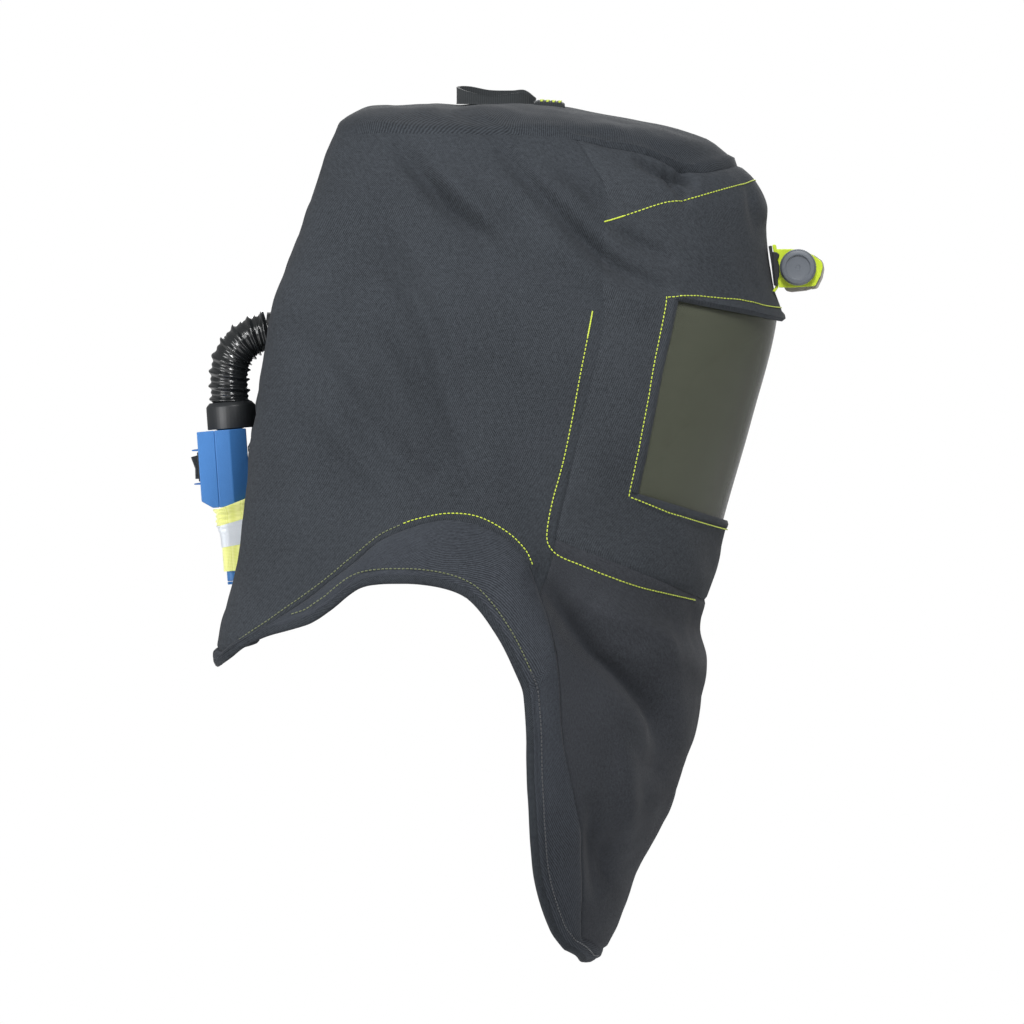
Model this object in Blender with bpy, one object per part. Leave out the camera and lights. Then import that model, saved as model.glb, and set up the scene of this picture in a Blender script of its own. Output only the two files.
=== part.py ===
"""Powered air respirator hood with a tinted window, a clip-on blower, an air hose and a headlamp.

Metres, +Z up, front of the hood at -Y, wearer's right at -X. The origin is where the top of the head
meets the suspension, so every height below is measured from the top of the head.
"""

import math

import bmesh
import bpy
from mathutils import Matrix, Vector

GAP = 0.0003  # between pieces that touch
FABRIC = 0.003  # two layers of aramid twill with a lining

# Hood loft, from the middle of the crown down: girth position, height, front, back, half width.
LOFT = (
    (0.000, 0.0440, 0.016, 0.016, 0.000),
    (0.055, 0.0425, -0.040, 0.070, 0.042),
    (0.085, 0.0400, -0.066, 0.092, 0.064),
    (0.115, 0.0315, -0.108, 0.110, 0.088),
    (0.145, 0.0185, -0.154, 0.117, 0.105),
    (0.177, -0.0135, -0.198, 0.128, 0.122),
    (0.195, -0.0315, -0.207, 0.135, 0.127),
    (0.222, -0.0585, -0.206, 0.146, 0.132),
    (0.258, -0.0945, -0.2115, 0.160, 0.137),
    (0.285, -0.1210, -0.2165, 0.1655, 0.140),
    (0.359, -0.1950, -0.196, 0.177, 0.147),
    (0.433, -0.2690, -0.176, 0.187, 0.155),
    (0.494, -0.3300, -0.162, 0.197, 0.166),
    (0.542, -0.3780, -0.161, 0.2045, 0.172),
    (0.594, -0.4300, -0.1535, 0.206, 0.170),
    (0.654, -0.4900, -0.1325, 0.206, 0.158),
    (0.709, -0.5450, -0.1045, 0.206, 0.138),
    (0.764, -0.6000, -0.066, 0.206, 0.110),
)
GIRTH_AT_ZERO = 0.1635  # girth position less height is this, everywhere below the crown
FRONT_SQUARENESS = 2.3  # superellipse power of the front half of a section
BACK_SQUARENESS = 2.5
BACK_PANEL_SHARE = 0.58  # half width of the back panel over half width of the hood
BACK_RECESS = ((0.0, 0.0), (-0.04, 0.0), (-0.13, 0.006), (-0.2, 0.011), (-0.26, 0.018),
               (-0.32, 0.026), (-0.6, 0.026))

# The arm opening at each side, as radius against bearing in degrees about a point inside it.
ARCH_CENTRE = (0.10, -0.52)
HEM_RADIUS = ((54, 0.179), (68, 0.177), (83, 0.184), (99, 0.2066), (114, 0.209), (125, 0.190),
              (141, 0.161), (160, 0.137), (187, 0.135), (202, 0.159), (207, 0.195), (230, 0.33))
BAND_RADIUS = ((54, 0.193), (70, 0.187), (80, 0.198), (91, 0.226), (100, 0.251), (114, 0.263),
               (121, 0.252), (133, 0.219), (151, 0.177), (175, 0.171), (195, 0.175), (200, 0.198),
               (230, 0.38))

# Seams, as bearings round the hood in degrees from the front, and heights at the front centre line.
WINDOW_EDGE = 52.5
FACE_SEAM = 75.0
BACK_SEAM = 135.0
COLUMN = 7.5
CROWN_SEAM = (-0.012, 0.022)  # at the front and at the sides
WINDOW_TOP = (-0.119, 0.207)  # height at the front, and rise per metre towards the back
WINDOW_BOTTOM = (-0.269, 0.285)
CHIN_SEAM = (-0.3285, 0.347)
ROWS = (4, 4, 5, 2, 4, 2)  # steps between one seam row and the next

LENS = 0.002
LENS_LAP = 7.5  # degrees that the lens runs on behind the window's edge

CAP_HALF = (0.104, 0.109)
CAP_TOP = 0.0345
CAP_RIM = -0.045
CAP_WALL = 0.0025
BAND_HALF = (0.079, 0.099)
BAND_HEIGHTS = (-0.096, -0.066)

LAMP_AXIS = Vector((0, -0.231, -0.079))
LAMP_HALF_WIDTH = 0.029
LAMP_BARREL = 0.0120

BLOWER_TOP = Vector((0, 0.1965, -0.2007))
BLOWER_LEAN = math.radians(-4.1)
HOUSING_HALF_WIDTH = 0.031
HOUSING_FRONT = -0.0135
HOUSING_PARTING = 0.0105
HOUSING_REAR = 0.0234
HOUSING_HEIGHT = 0.0578
WALL = 0.002
CARTRIDGE_HALF_WIDTH = 0.0255
CARTRIDGE_REAR = 0.0085
CARTRIDGE_BOTTOM = -0.1135
FAN_Y = 0.002
ROCKER_Z = -0.0264
CLIP_FACE = -0.0183

HOSE_RADIUS = 0.0150
INLET = Vector((0, 0.1606, -0.1245))
INLET_LEAN = math.radians(7.4)
SPIGOT_LEAN = math.radians(-20)
SPIGOT_LENGTH = 0.0152
HOSE_ROUTE = ((0.1947, -0.1790), (0.1955, -0.1700), (0.1955, -0.1585), (0.1931, -0.1468),
              (0.1861, -0.1367), (0.1790, -0.1313), (0.1757, -0.1301))

MATERIALS = {
    "twill": ((0.060, 0.068, 0.076, 1), 0.9, 0.0),
    "webbing": ((0.028, 0.030, 0.031, 1), 0.85, 0.0),
    "tinted_lens": ((0.055, 0.062, 0.045, 1), 0.12, 0.0),
    "black_plastic": ((0.018, 0.019, 0.020, 1), 0.45, 0.0),
    "grey_plastic": ((0.16, 0.18, 0.20, 1), 0.5, 0.0),
    "lime_plastic": ((0.50, 0.68, 0.035, 1), 0.4, 0.0),
    "blue_plastic": ((0.075, 0.22, 0.52, 1), 0.42, 0.0),
    "rubber": ((0.030, 0.032, 0.034, 1), 0.35, 0.0),
    "hivis": ((0.83, 0.86, 0.22, 1), 0.7, 0.0),
    "white_plastic": ((0.72, 0.72, 0.70, 1), 0.5, 0.0),
    "foam": ((0.10, 0.11, 0.12, 1), 0.95, 0.0),
    "steel": ((0.55, 0.56, 0.58, 1), 0.3, 1.0),
    "clear": ((0.85, 0.88, 0.90, 1), 0.08, 0.0),
    "green_board": ((0.02, 0.16, 0.06, 1), 0.5, 0.0),
}


def clear_scene():
    for old in list(bpy.data.objects):
        bpy.data.objects.remove(old)


def finish_mesh(name, bm, material, parent=None):
    """Make an object from bm, with its faces pointing out, smooth except at its sharp edges."""
    bmesh.ops.remove_doubles(bm, verts=bm.verts, dist=1e-6)
    bmesh.ops.recalc_face_normals(bm, faces=bm.faces)
    mesh = bpy.data.meshes.new(name)
    bm.to_mesh(mesh)
    bm.free()
    mesh.shade_smooth()
    mesh.set_sharp_from_angle(angle=math.radians(35))
    mesh.materials.append(material_of(material))
    obj = bpy.data.objects.new(name, mesh)
    obj.parent = parent
    bpy.context.scene.collection.objects.link(obj)
    return obj


def material_of(name):
    made = bpy.data.materials.get(name)
    if made is None:
        colour, roughness, metallic = MATERIALS[name]
        made = bpy.data.materials.new(name)
        made.use_nodes = True
        shader = made.node_tree.nodes["Principled BSDF"]
        shader.inputs["Base Color"].default_value = colour
        shader.inputs["Roughness"].default_value = roughness
        shader.inputs["Metallic"].default_value = metallic
    return made


def empty(name, location, lean=0.0):
    made = bpy.data.objects.new(name, None)
    made.location = location
    made.rotation_euler = (lean, 0, 0)
    made.empty_display_size = 0.02
    bpy.context.scene.collection.objects.link(made)
    return made


def curve_through(points, at):
    """The value at `at` of a smooth curve through (position, value) pairs in rising order."""
    last = len(points) - 2
    i = max(0, min(last, sum(1 for place, _ in points if place <= at) - 1))

    def slope(k):
        low, high = max(k - 1, 0), min(k + 1, last + 1)
        return (points[high][1] - points[low][1]) / (points[high][0] - points[low][0])

    width = points[i + 1][0] - points[i][0]
    t = max(0.0, min(1.0, (at - points[i][0]) / width))
    rise = points[i + 1][1] - points[i][1]
    start, end = slope(i) * width, slope(i + 1) * width
    return points[i][1] + t * (start + t * (3 * rise - 2 * start - end + t * (start + end - 2 * rise)))


HEIGHT, FRONT, BACK, HALF_WIDTH = (tuple((row[0], row[k]) for row in LOFT) for k in range(1, 5))
RECESS = tuple(reversed(BACK_RECESS))


def hood_point(bearing, girth):
    """A point on the outside of the hood: bearing in degrees from the front, girth down from the crown."""
    z = curve_through(HEIGHT, girth)
    front = curve_through(FRONT, girth)
    back = curve_through(BACK, girth)
    wide = curve_through(HALF_WIDTH, girth)
    side = -1 if bearing % 360 < 180 else 1
    turn = min(bearing % 360, 360 - bearing % 360)
    middle = (front + back) / 2
    half = (back - front) / 2
    if turn <= 90:
        angle = math.radians(turn)
        x = wide * math.sin(angle) ** (2 / FRONT_SQUARENESS)
        y = middle - half * math.cos(angle) ** (2 / FRONT_SQUARENESS)
    elif turn <= BACK_SEAM:
        angle = math.radians((turn - 90) / (BACK_SEAM - 90) * 90)
        edge = BACK_PANEL_SHARE * wide
        x = edge + (wide - edge) * max(0.0, math.cos(angle)) ** (2 / BACK_SQUARENESS)
        y = middle + half * math.sin(angle) ** (2 / BACK_SQUARENESS)
    else:
        in_from_seam = (turn - BACK_SEAM) / (180 - BACK_SEAM)
        x = BACK_PANEL_SHARE * wide * (1 - in_from_seam)
        part = min(1.0, in_from_seam / 0.55)
        y = back - curve_through(RECESS, z) * part * part * (3 - 2 * part)
    return Vector((side * x, y, z))


def hood_inside(bearing, girth, depth):
    """The point at that depth straight in from the hood's outside."""
    girth = max(girth, 0.0)
    if girth < 1e-6:
        return hood_point(bearing, 0.0) - Vector((0, 0, depth))
    step = 0.4
    along = hood_point(bearing + step, girth) - hood_point(bearing - step, girth)
    down = hood_point(bearing, girth + 0.002) - hood_point(bearing, max(0.0, girth - 0.002))
    normal = along.cross(down).normalized()
    outward = hood_point(bearing, girth) - Vector((0, 0.01, girth * -0.8))
    if normal.dot(outward) < 0:
        normal.negate()
    return hood_point(bearing, girth) - depth * normal


def girth_on_arch(bearing, radii):
    """How far down the hood meets the line of an arm opening at this bearing."""
    high, low = 0.33, 0.764
    for _ in range(40):
        girth = (high + low) / 2
        place = hood_point(bearing, girth)
        dy, dz = place.y - ARCH_CENTRE[0], place.z - ARCH_CENTRE[1]
        angle = math.degrees(math.atan2(dz, dy)) % 360
        if math.hypot(dy, dz) > curve_through(radii, angle):
            high = girth
        else:
            low = girth
    return (high + low) / 2


def seam_girths(bearing):
    """Girth of each seam row at this bearing: crown, window top and bottom, chin, band and hem."""
    turn = min(bearing % 360, 360 - bearing % 360)
    face = min(turn, FACE_SEAM)
    depth = 0.19 * (1 - math.cos(math.radians(face)) ** (2 / FRONT_SQUARENESS))
    forward = max(0.0, math.cos(math.radians(turn))) ** 1.5
    crown = CROWN_SEAM[1] + (CROWN_SEAM[0] - CROWN_SEAM[1]) * forward
    top, bottom, chin = (front + rise * depth for front, rise in (WINDOW_TOP, WINDOW_BOTTOM, CHIN_SEAM))
    band = girth_on_arch(bearing, BAND_RADIUS)
    hem = girth_on_arch(bearing, HEM_RADIUS)
    if turn > FACE_SEAM:
        chin = (bottom + GIRTH_AT_ZERO - band) / 2
    crown_girth = 0.145 if crown > 0.0185 else GIRTH_AT_ZERO - crown
    return [0.0, crown_girth] + [GIRTH_AT_ZERO - z for z in (top, bottom, chin)] + [band, hem]


def girth_of(bearing, row, cache={}):
    """Girth at a row number that may lie between two seam rows."""
    key = round(bearing % 360, 4)
    if key not in cache:
        cache[key] = seam_girths(bearing)
    rows = cache[key]
    i = min(int(row), len(rows) - 2)
    return rows[i] + (row - i) * (rows[i + 1] - rows[i])


def grid_solid(name, outer, inner, material, round_trip=False, parent=None):
    """A closed sheet between two grids of points, each a list of rows. round_trip joins row ends."""
    bm = bmesh.new()
    faces = [[[bm.verts.new(p) for p in row] for row in grid] for grid in (outer, inner)]
    count = len(outer[0])
    last = count if round_trip else count - 1
    for grid in faces:
        for upper, lower in zip(grid, grid[1:]):
            for j in range(last):
                k = (j + 1) % count
                bm.faces.new((upper[j], upper[k], lower[k], lower[j]))
    for edge in (0, -1):
        for j in range(last):
            k = (j + 1) % count
            bm.faces.new((faces[0][edge][j], faces[0][edge][k], faces[1][edge][k], faces[1][edge][j]))
    if not round_trip:
        for edge in (0, -1):
            for i in range(len(outer) - 1):
                bm.faces.new((faces[0][i][edge], faces[0][i + 1][edge],
                              faces[1][i + 1][edge], faces[1][i][edge]))
    bmesh.ops.dissolve_degenerate(bm, dist=1e-7, edges=bm.edges)
    return finish_mesh(name, bm, material, parent)


def stations(first, last, steps, trim):
    """Evenly spaced values from first to last, the two end ones moved in by trim."""
    values = [first + (last - first) * i / steps for i in range(steps + 1)]
    values[0] += trim
    values[-1] -= trim
    return values


def hood_patch(name, bearings, rows, material="twill", depths=(0.0, FABRIC)):
    """A panel of the hood between two bearings and two seam rows, kept clear of its neighbours."""
    columns = stations(*bearings, round((bearings[1] - bearings[0]) / COLUMN), 0.12)
    levels = []
    for k in range(rows[0], rows[1]):
        levels += [k + i / ROWS[k] for i in range(ROWS[k])]
    levels.append(rows[1])

    def girth(bearing, level):
        at = girth_of(bearing, level)
        if level == rows[0] and level > 0:
            at += GAP
        return at - GAP if level == rows[1] and level < len(ROWS) else at

    grids = [[[hood_inside(b, girth(b, level), depth) for b in columns] for level in levels]
             for depth in depths]
    return grid_solid(name, *grids, material)


def make_crown():
    """The top panel, one piece all the way round down to the crown seam."""
    columns = [COLUMN * i for i in range(round(360 / COLUMN))]
    count = len(columns)
    levels = [i / (ROWS[0] + 1) for i in range(1, ROWS[0] + 2)]
    bm = bmesh.new()
    rims = []
    for depth in (0.0, FABRIC):
        pole = bm.verts.new(hood_inside(0, 0, depth))
        rows = [[bm.verts.new(hood_inside(b, girth_of(b, level) - (GAP if level == 1 else 0), depth))
                 for b in columns] for level in levels]
        for j in range(count):
            bm.faces.new((pole, rows[0][j], rows[0][(j + 1) % count]))
        for upper, lower in zip(rows, rows[1:]):
            for j in range(count):
                k = (j + 1) % count
                bm.faces.new((upper[j], upper[k], lower[k], lower[j]))
        rims.append(rows[-1])
    for j in range(count):
        k = (j + 1) % count
        bm.faces.new((rims[0][j], rims[0][k], rims[1][k], rims[1][j]))
    return finish_mesh("crown_panel", bm, "twill")


def make_hood():
    make_crown()
    hood_patch("brow_panel", (-FACE_SEAM, FACE_SEAM), (1, 2))
    hood_patch("chin_panel", (-FACE_SEAM, FACE_SEAM), (3, 4))
    hood_patch("bib_panel", (-FACE_SEAM, FACE_SEAM), (4, 5))
    back = hood_patch("back_panel", (BACK_SEAM, 360 - BACK_SEAM), (1, 5))
    for side, turn in (("right", 1), ("left", -1)):
        for name, ends, rows in (
            ("cheek_panel", (WINDOW_EDGE, FACE_SEAM), (2, 3)),
            ("side_panel", (FACE_SEAM, BACK_SEAM), (1, 5)),
            ("shoulder_band", (0, 180), (5, 6)),
        ):
            hood_patch(f"{name}_{side}", tuple(sorted(turn * end for end in ends)), rows)
    return back


def box(name, low, high, material, parent=None, bevel=0.0):
    """A box between two corners, its edges rounded by a Bevel modifier."""
    bm = bmesh.new()
    size = [b - a for a, b in zip(low, high)]
    middle = [(a + b) / 2 for a, b in zip(low, high)]
    bmesh.ops.create_cube(bm, size=1, matrix=Matrix.Translation(middle) @ Matrix.Diagonal((*size, 1)))
    made = finish_mesh(name, bm, material, parent)
    if bevel:
        rounding = made.modifiers.new("rounding", "BEVEL")
        rounding.width = bevel
        rounding.segments = 2
    return made


def prism(name, outline, low, high, material, parent=None):
    """An outline of (y, z) points run along X from low to high."""
    bm = bmesh.new()
    ends = [[bm.verts.new((x, y, z)) for y, z in outline] for x in (low, high)]
    for end in ends:
        bm.faces.new(end)
    for j in range(len(outline)):
        k = (j + 1) % len(outline)
        bm.faces.new((ends[0][j], ends[0][k], ends[1][k], ends[1][j]))
    return finish_mesh(name, bm, material, parent)


AXES = {"X": Matrix.Rotation(math.pi / 2, 4, "Y"), "Y": Matrix.Rotation(-math.pi / 2, 4, "X"),
        "Z": Matrix.Identity(4)}


def turned(name, profile, axis, centre, material, parent=None, sides=24, ring=False):
    """A turned solid from (radius, height) points. ring closes the profile, for one with a hole."""
    bm = bmesh.new()
    turn = Matrix.Translation(centre) @ AXES[axis]
    rows = []
    for radius, height in profile:
        corners = [(radius * math.cos(math.tau * j / sides), radius * math.sin(math.tau * j / sides),
                    height) for j in range(sides)]
        rows.append([bm.verts.new(turn @ Vector(corner)) for corner in corners])
    pairs = list(zip(rows, rows[1:]))
    if ring:
        pairs.append((rows[-1], rows[0]))
    else:
        bm.faces.new(rows[0])
        bm.faces.new(rows[-1])
    for upper, lower in pairs:
        for j in range(sides):
            k = (j + 1) % sides
            bm.faces.new((upper[j], upper[k], lower[k], lower[j]))
    return finish_mesh(name, bm, material, parent)


def band_ring(name, outer, inner, low, high, axes, material, parent=None):
    """A closed band: matching outer and inner outlines in two axes, run along the third."""
    def place(point, along):
        made = [0.0, 0.0, 0.0]
        made[axes[0]], made[axes[1]] = point
        made[3 - sum(axes)] = along
        return made

    grids = [[[place(p, along) for p in outline] for along in (low, high)] for outline in (outer, inner)]
    return grid_solid(name, *grids, material, round_trip=True, parent=parent)


def stadium(length, height, middle, steps=6):
    """Outline points of a slot shape with round ends, in two axes."""
    radius = height / 2
    points = []
    for start, end in ((-90, 1), (90, -1)):
        for i in range(steps + 1):
            angle = math.radians(start + 180 * i / steps)
            points.append((middle[0] + end * (length / 2 - radius) + radius * math.cos(angle),
                           middle[1] + radius * math.sin(angle)))
    return points


def round_rectangle(half_x, low_y, high_y, corner, steps=3):
    """Outline points of a rectangle with round corners."""
    points = []
    for quarter, (x, y) in enumerate(((half_x, high_y), (-half_x, high_y), (-half_x, low_y),
                                      (half_x, low_y))):
        centre = (x - math.copysign(corner, x), y - corner if y == high_y else y + corner)
        for i in range(steps + 1):
            angle = math.radians(90 * quarter + 90 * i / steps)
            points.append((centre[0] + corner * math.cos(angle), centre[1] + corner * math.sin(angle)))
    return points


def hide_helper(helper):
    helper.hide_render = True
    helper.display_type = "WIRE"


def cut(made, cutter):
    hide_helper(cutter)
    hole = made.modifiers.new("hole", "BOOLEAN")
    hole.operation = "DIFFERENCE"
    hole.object = cutter


def join(made, other):
    hide_helper(other)
    union = made.modifiers.new("join", "BOOLEAN")
    union.operation = "UNION"
    union.object = other


def make_loop():
    """The hanging loop stands on its edge along the crown; its ends are sewn down under a patch."""
    outer = stadium(0.058, 0.0170, (-0.004, 0.0))
    inner = stadium(0.054, 0.0130, (-0.004, 0.0))
    band_ring("hanging_loop", outer, inner, 0.0448, 0.0565, (1, 0), "webbing")
    patch = ((-0.0565, 0.0430), (-0.0335, 0.0447), (-0.0335, 0.0485), (-0.0540, 0.0460))
    prism("loop_patch", patch, -0.013, 0.013, "webbing")


def make_window():
    """The lens is clamped behind the window's edges, and hangs from a rail on two arms."""
    reach = WINDOW_EDGE + LENS_LAP

    def sheet(name, levels, depths, material):
        columns = stations(-reach, reach, round(2 * reach / COLUMN), 0)
        grids = [[[hood_inside(b, girth_of(b, level), depth) for b in columns] for level in levels]
                 for depth in depths]
        grid_solid(name, *grids, material)

    lens_in = FABRIC + 2 * GAP
    sheet("face_lens", stations(1.88, 3.18, 8, 0), (lens_in, lens_in + LENS), "tinted_lens")
    rail_in = lens_in + LENS + 5 * GAP
    sheet("lens_rail", stations(1.88, 1.985, 1, 0), (rail_in, rail_in + 0.004), "black_plastic")
    for side, sign in (("right", -1), ("left", 1)):
        arm = ((0.006, -0.026), (0.006, -0.044), (-0.098, -0.098), (-0.106, -0.090), (-0.106, -0.080))
        low, high = sorted((sign * 0.1085, sign * 0.1105))
        prism(f"lens_arm_{side}", arm, low, high, "black_plastic")
        start = (sign * 0.1108, -0.004, -0.035)
        head = [(0.005, 0.0), (0.005, sign * 0.0015), (0.0035, sign * 0.0025)]
        turned(f"arm_stud_{side}", head, "X", start, "black_plastic", sides=16)


def ellipse_sheet(name, halves, profile, wall, material, bearings=(0, 360), steps=32):
    """A wall round the head. profile gives (share of the halves, height) from top to bottom."""
    closed = bearings[1] - bearings[0] >= 360
    turns = [bearings[0] + (bearings[1] - bearings[0]) * i / steps for i in range(steps + (not closed))]
    grids = []
    for inset in (0.0, wall):
        rows = []
        for share, height in profile:
            x, y = (max(0.0005, share * half - inset) for half in halves)
            drop = inset if share < 0.5 else inset * (1 - share)
            rows.append([(x * math.sin(math.radians(t)), -y * math.cos(math.radians(t)), height - drop)
                         for t in turns])
        grids.append(rows)
    return grid_solid(name, *grids, material, round_trip=closed)


def make_cap():
    """A hard bump cap carries the hood; its sides follow a quarter ellipse from a vent at the top."""
    rise = CAP_TOP - CAP_RIM
    profile = [(math.sin(math.radians(a)), CAP_RIM + rise * math.cos(math.radians(a)))
               for a in (6, 20, 34, 48, 62, 76, 90)]
    ellipse_sheet("cap_shell", CAP_HALF, profile, CAP_WALL, "black_plastic", steps=24)
    peak_outer = [(CAP_HALF[0] * 0.80 * math.sin(a), -0.078 - 0.088 * math.cos(a))
                  for a in (math.radians(t) for t in range(-75, 76, 15))]
    reach = CAP_HALF[1] + 0.0008
    peak_inner = [((CAP_HALF[0] + 0.0008) * math.sin(a), -reach * math.cos(a))
                  for a in (math.radians(t) for t in range(-50, 51, 10))]
    grids = []
    for thickness in (0.0, CAP_WALL):
        grids.append([[(x, y, -0.0385 - thickness + (y + 0.11) * 0.25) for x, y in outline]
                      for outline in (peak_outer, peak_inner)])
    grid_solid("cap_peak", *grids, "black_plastic")


def make_suspension():
    """Headband, two crossing crown straps, brow pad and the ratchet that tightens the band."""
    ellipse_sheet("headband", BAND_HALF, [(1.0, BAND_HEIGHTS[1]), (1.0, BAND_HEIGHTS[0])], 0.0016,
                  "white_plastic")
    pad = [half - 0.0016 - 4 * GAP for half in BAND_HALF]
    ellipse_sheet("brow_pad", pad, [(1.0, -0.069), (1.0, -0.093)], 0.004, "foam", (-58, 58), 12)
    for name, axis, half, top in (("crown_strap_long", 1, BAND_HALF[1] - 0.001, 0.0035),
                                  ("crown_strap_cross", 0, BAND_HALF[0] - 0.001, 0.0012)):
        foot = BAND_HEIGHTS[1] + GAP
        grids = []
        for inset in (0.0, 0.0015):
            arc = []
            for i in range(17):
                a = math.pi * i / 16
                along = (half - inset) * math.cos(a)
                up = foot + (top - foot - inset) * math.sin(a)
                arc.append((along, up))
            grids.append([[(side, a, z) if axis else (a, side, z) for a, z in arc]
                          for side in (-0.010, 0.010)])
        grid_solid(name, *grids, "webbing")
    rear = BAND_HALF[1] + 0.0012
    box("ratchet_housing", (-0.030, rear, -0.095), (0.030, rear + 0.009, -0.067), "black_plastic",
        bevel=0.002)
    ratchet = empty("ratchet_axis", (0, rear + 0.009, -0.081))
    grip = [(0.0165, GAP), (0.0185, 0.0025), (0.0185, 0.0085), (0.0150, 0.0105)]
    turned("ratchet_knob", grip, "Y", (0, 0, 0), "black_plastic", ratchet, sides=20)


def make_lamp():
    """A lamp head turns between the ears of a yoke that clips over a bracket on the brow."""
    lamp = empty("lamp_axis", LAMP_AXIS)
    w = LAMP_HALF_WIDTH
    strip = ((0.0187, 0.0165), (0.0230, 0.0165), (0.0186, -0.0135), (0.0155, -0.0135))
    prism("lamp_bracket", strip, -0.020, 0.020, "black_plastic", lamp)
    plate = ((0.0166, 0.0170), (0.0183, 0.0170), (0.0146, -0.0180), (0.0129, -0.0180))
    yoke = prism("lamp_yoke", plate, -w, w, "lime_plastic", lamp)
    ear = ((0.0155, 0.0136), (-0.0108, 0.0124), (-0.0185, 0.0058), (-0.0185, 0.0010),
           (-0.0150, -0.0140), (0.0150, -0.0140))
    for side, sign in (("right", -1), ("left", 1)):
        low, high = sorted((sign * w, sign * (w - 0.0022)))
        cheek = prism(f"ear_{side}", ear, low, high, "lime_plastic", lamp)
        join(yoke, cheek)
        bore = turned(f"bore_{side}", [(0.0042, -0.004), (0.0042, 0.004)], "X",
                      (sign * w, 0, 0), "lime_plastic", lamp, sides=16)
        cut(yoke, bore)
    inner = w - 0.0022 - 2 * GAP
    head = [(LAMP_BARREL * math.cos(a), LAMP_BARREL * math.sin(a))
            for a in (math.radians(t) for t in range(-75, 91, 15))]
    head += [(-0.0100, 0.0128), (-0.0100, -0.0128), (-0.0095, -0.0178), (-0.0015, -0.0180)]
    body = prism("lamp_head", head, -inner, inner, "grey_plastic", lamp)
    pocket = prism("lamp_pocket", ((-0.0020, -0.0075), (-0.0200, -0.0075), (-0.0200, 0.0095),
                                   (-0.0020, 0.0095)), -0.0190, 0.0190, "grey_plastic", lamp)
    cut(body, pocket)
    for side, sign in (("right", -1), ("left", 1)):
        blind = turned(f"spindle_bore_{side}", [(0.0042, -0.0042), (0.0042, 0.0042)], "X",
                       (sign * inner, 0, 0), "grey_plastic", lamp, sides=16)
        cut(body, blind)
    bezel_outer = [(0.0262 * sx, 0.0138 * sz - 0.0004) for sx, sz in ((1, 1), (-1, 1), (-1, -1), (1, -1))]
    bezel_inner = [(0.0185 * sx, 0.0082 * sz + 0.0010) for sx, sz in ((1, 1), (-1, 1), (-1, -1), (1, -1))]
    band_ring("lamp_bezel", bezel_outer, bezel_inner, -0.0188, -0.0104, (0, 2), "grey_plastic", lamp)
    box("lamp_glass", (-0.0182, -0.0170, -0.0068), (0.0182, -0.0155, 0.0088), "clear", lamp)
    bowl = [(0.0042, -0.0012), (0.0072, 0.0058), (0.0060, 0.0058), (0.0030, -0.0002)]
    for side, sign in (("right", -1), ("left", 1)):
        turned(f"lamp_reflector_{side}", [(r, -h) for r, h in bowl], "Y", (sign * 0.0092, -0.0082, 0.0010),
               "steel", lamp, sides=16, ring=True)
    knob = [(0.0037, -0.0060), (0.0037, 0.0), (0.0134, 0.0), (0.0134, 0.0062), (0.0122, 0.0080),
            (0.0092, 0.0080), (0.0092, 0.0066)]
    for name, sign in (("lamp_knob", -1), ("lamp_end_cap", 1)):
        turned(name, [(r, sign * h) for r, h in knob], "X", (sign * (w + GAP), 0, 0), "grey_plastic",
               lamp, sides=28)


def make_hose():
    """The corrugated hose climbs from the blower's cuff and bends forward into the hood's inlet."""
    curve = bpy.data.curves.new("breathing_hose", "CURVE")
    curve.dimensions = "3D"
    curve.bevel_depth = HOSE_RADIUS
    curve.bevel_resolution = 4
    curve.use_fill_caps = True
    spline = curve.splines.new("POLY")
    run = [0.0]
    for start, end in zip(HOSE_ROUTE, HOSE_ROUTE[1:]):
        run.append(run[-1] + math.dist(start, end))
    rows = [list(zip(run, values)) for values in zip(*HOSE_ROUTE)]
    steps = 12
    spline.points.add(steps)
    for i in range(steps + 1):
        at = run[-1] * i / steps
        spline.points[i].co = (0, curve_through(rows[0], at), curve_through(rows[1], at), 1)
    made = bpy.data.objects.new("breathing_hose", curve)
    curve.materials.append(material_of("rubber"))
    bpy.context.scene.collection.objects.link(made)


def inlet_ring(along, radius, lean, sides=24):
    """A circle about the inlet's axis, that far out from the back panel, leaning by an angle about X."""
    centre = INLET + along * Vector((0, math.cos(lean), math.sin(lean)))
    upward = Vector((0, -math.sin(lean), math.cos(lean)))
    turns = [math.tau * j / sides for j in range(sides)]
    return [centre + radius * (math.cos(a) * Vector((1, 0, 0)) + math.sin(a) * upward) for a in turns]


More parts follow.
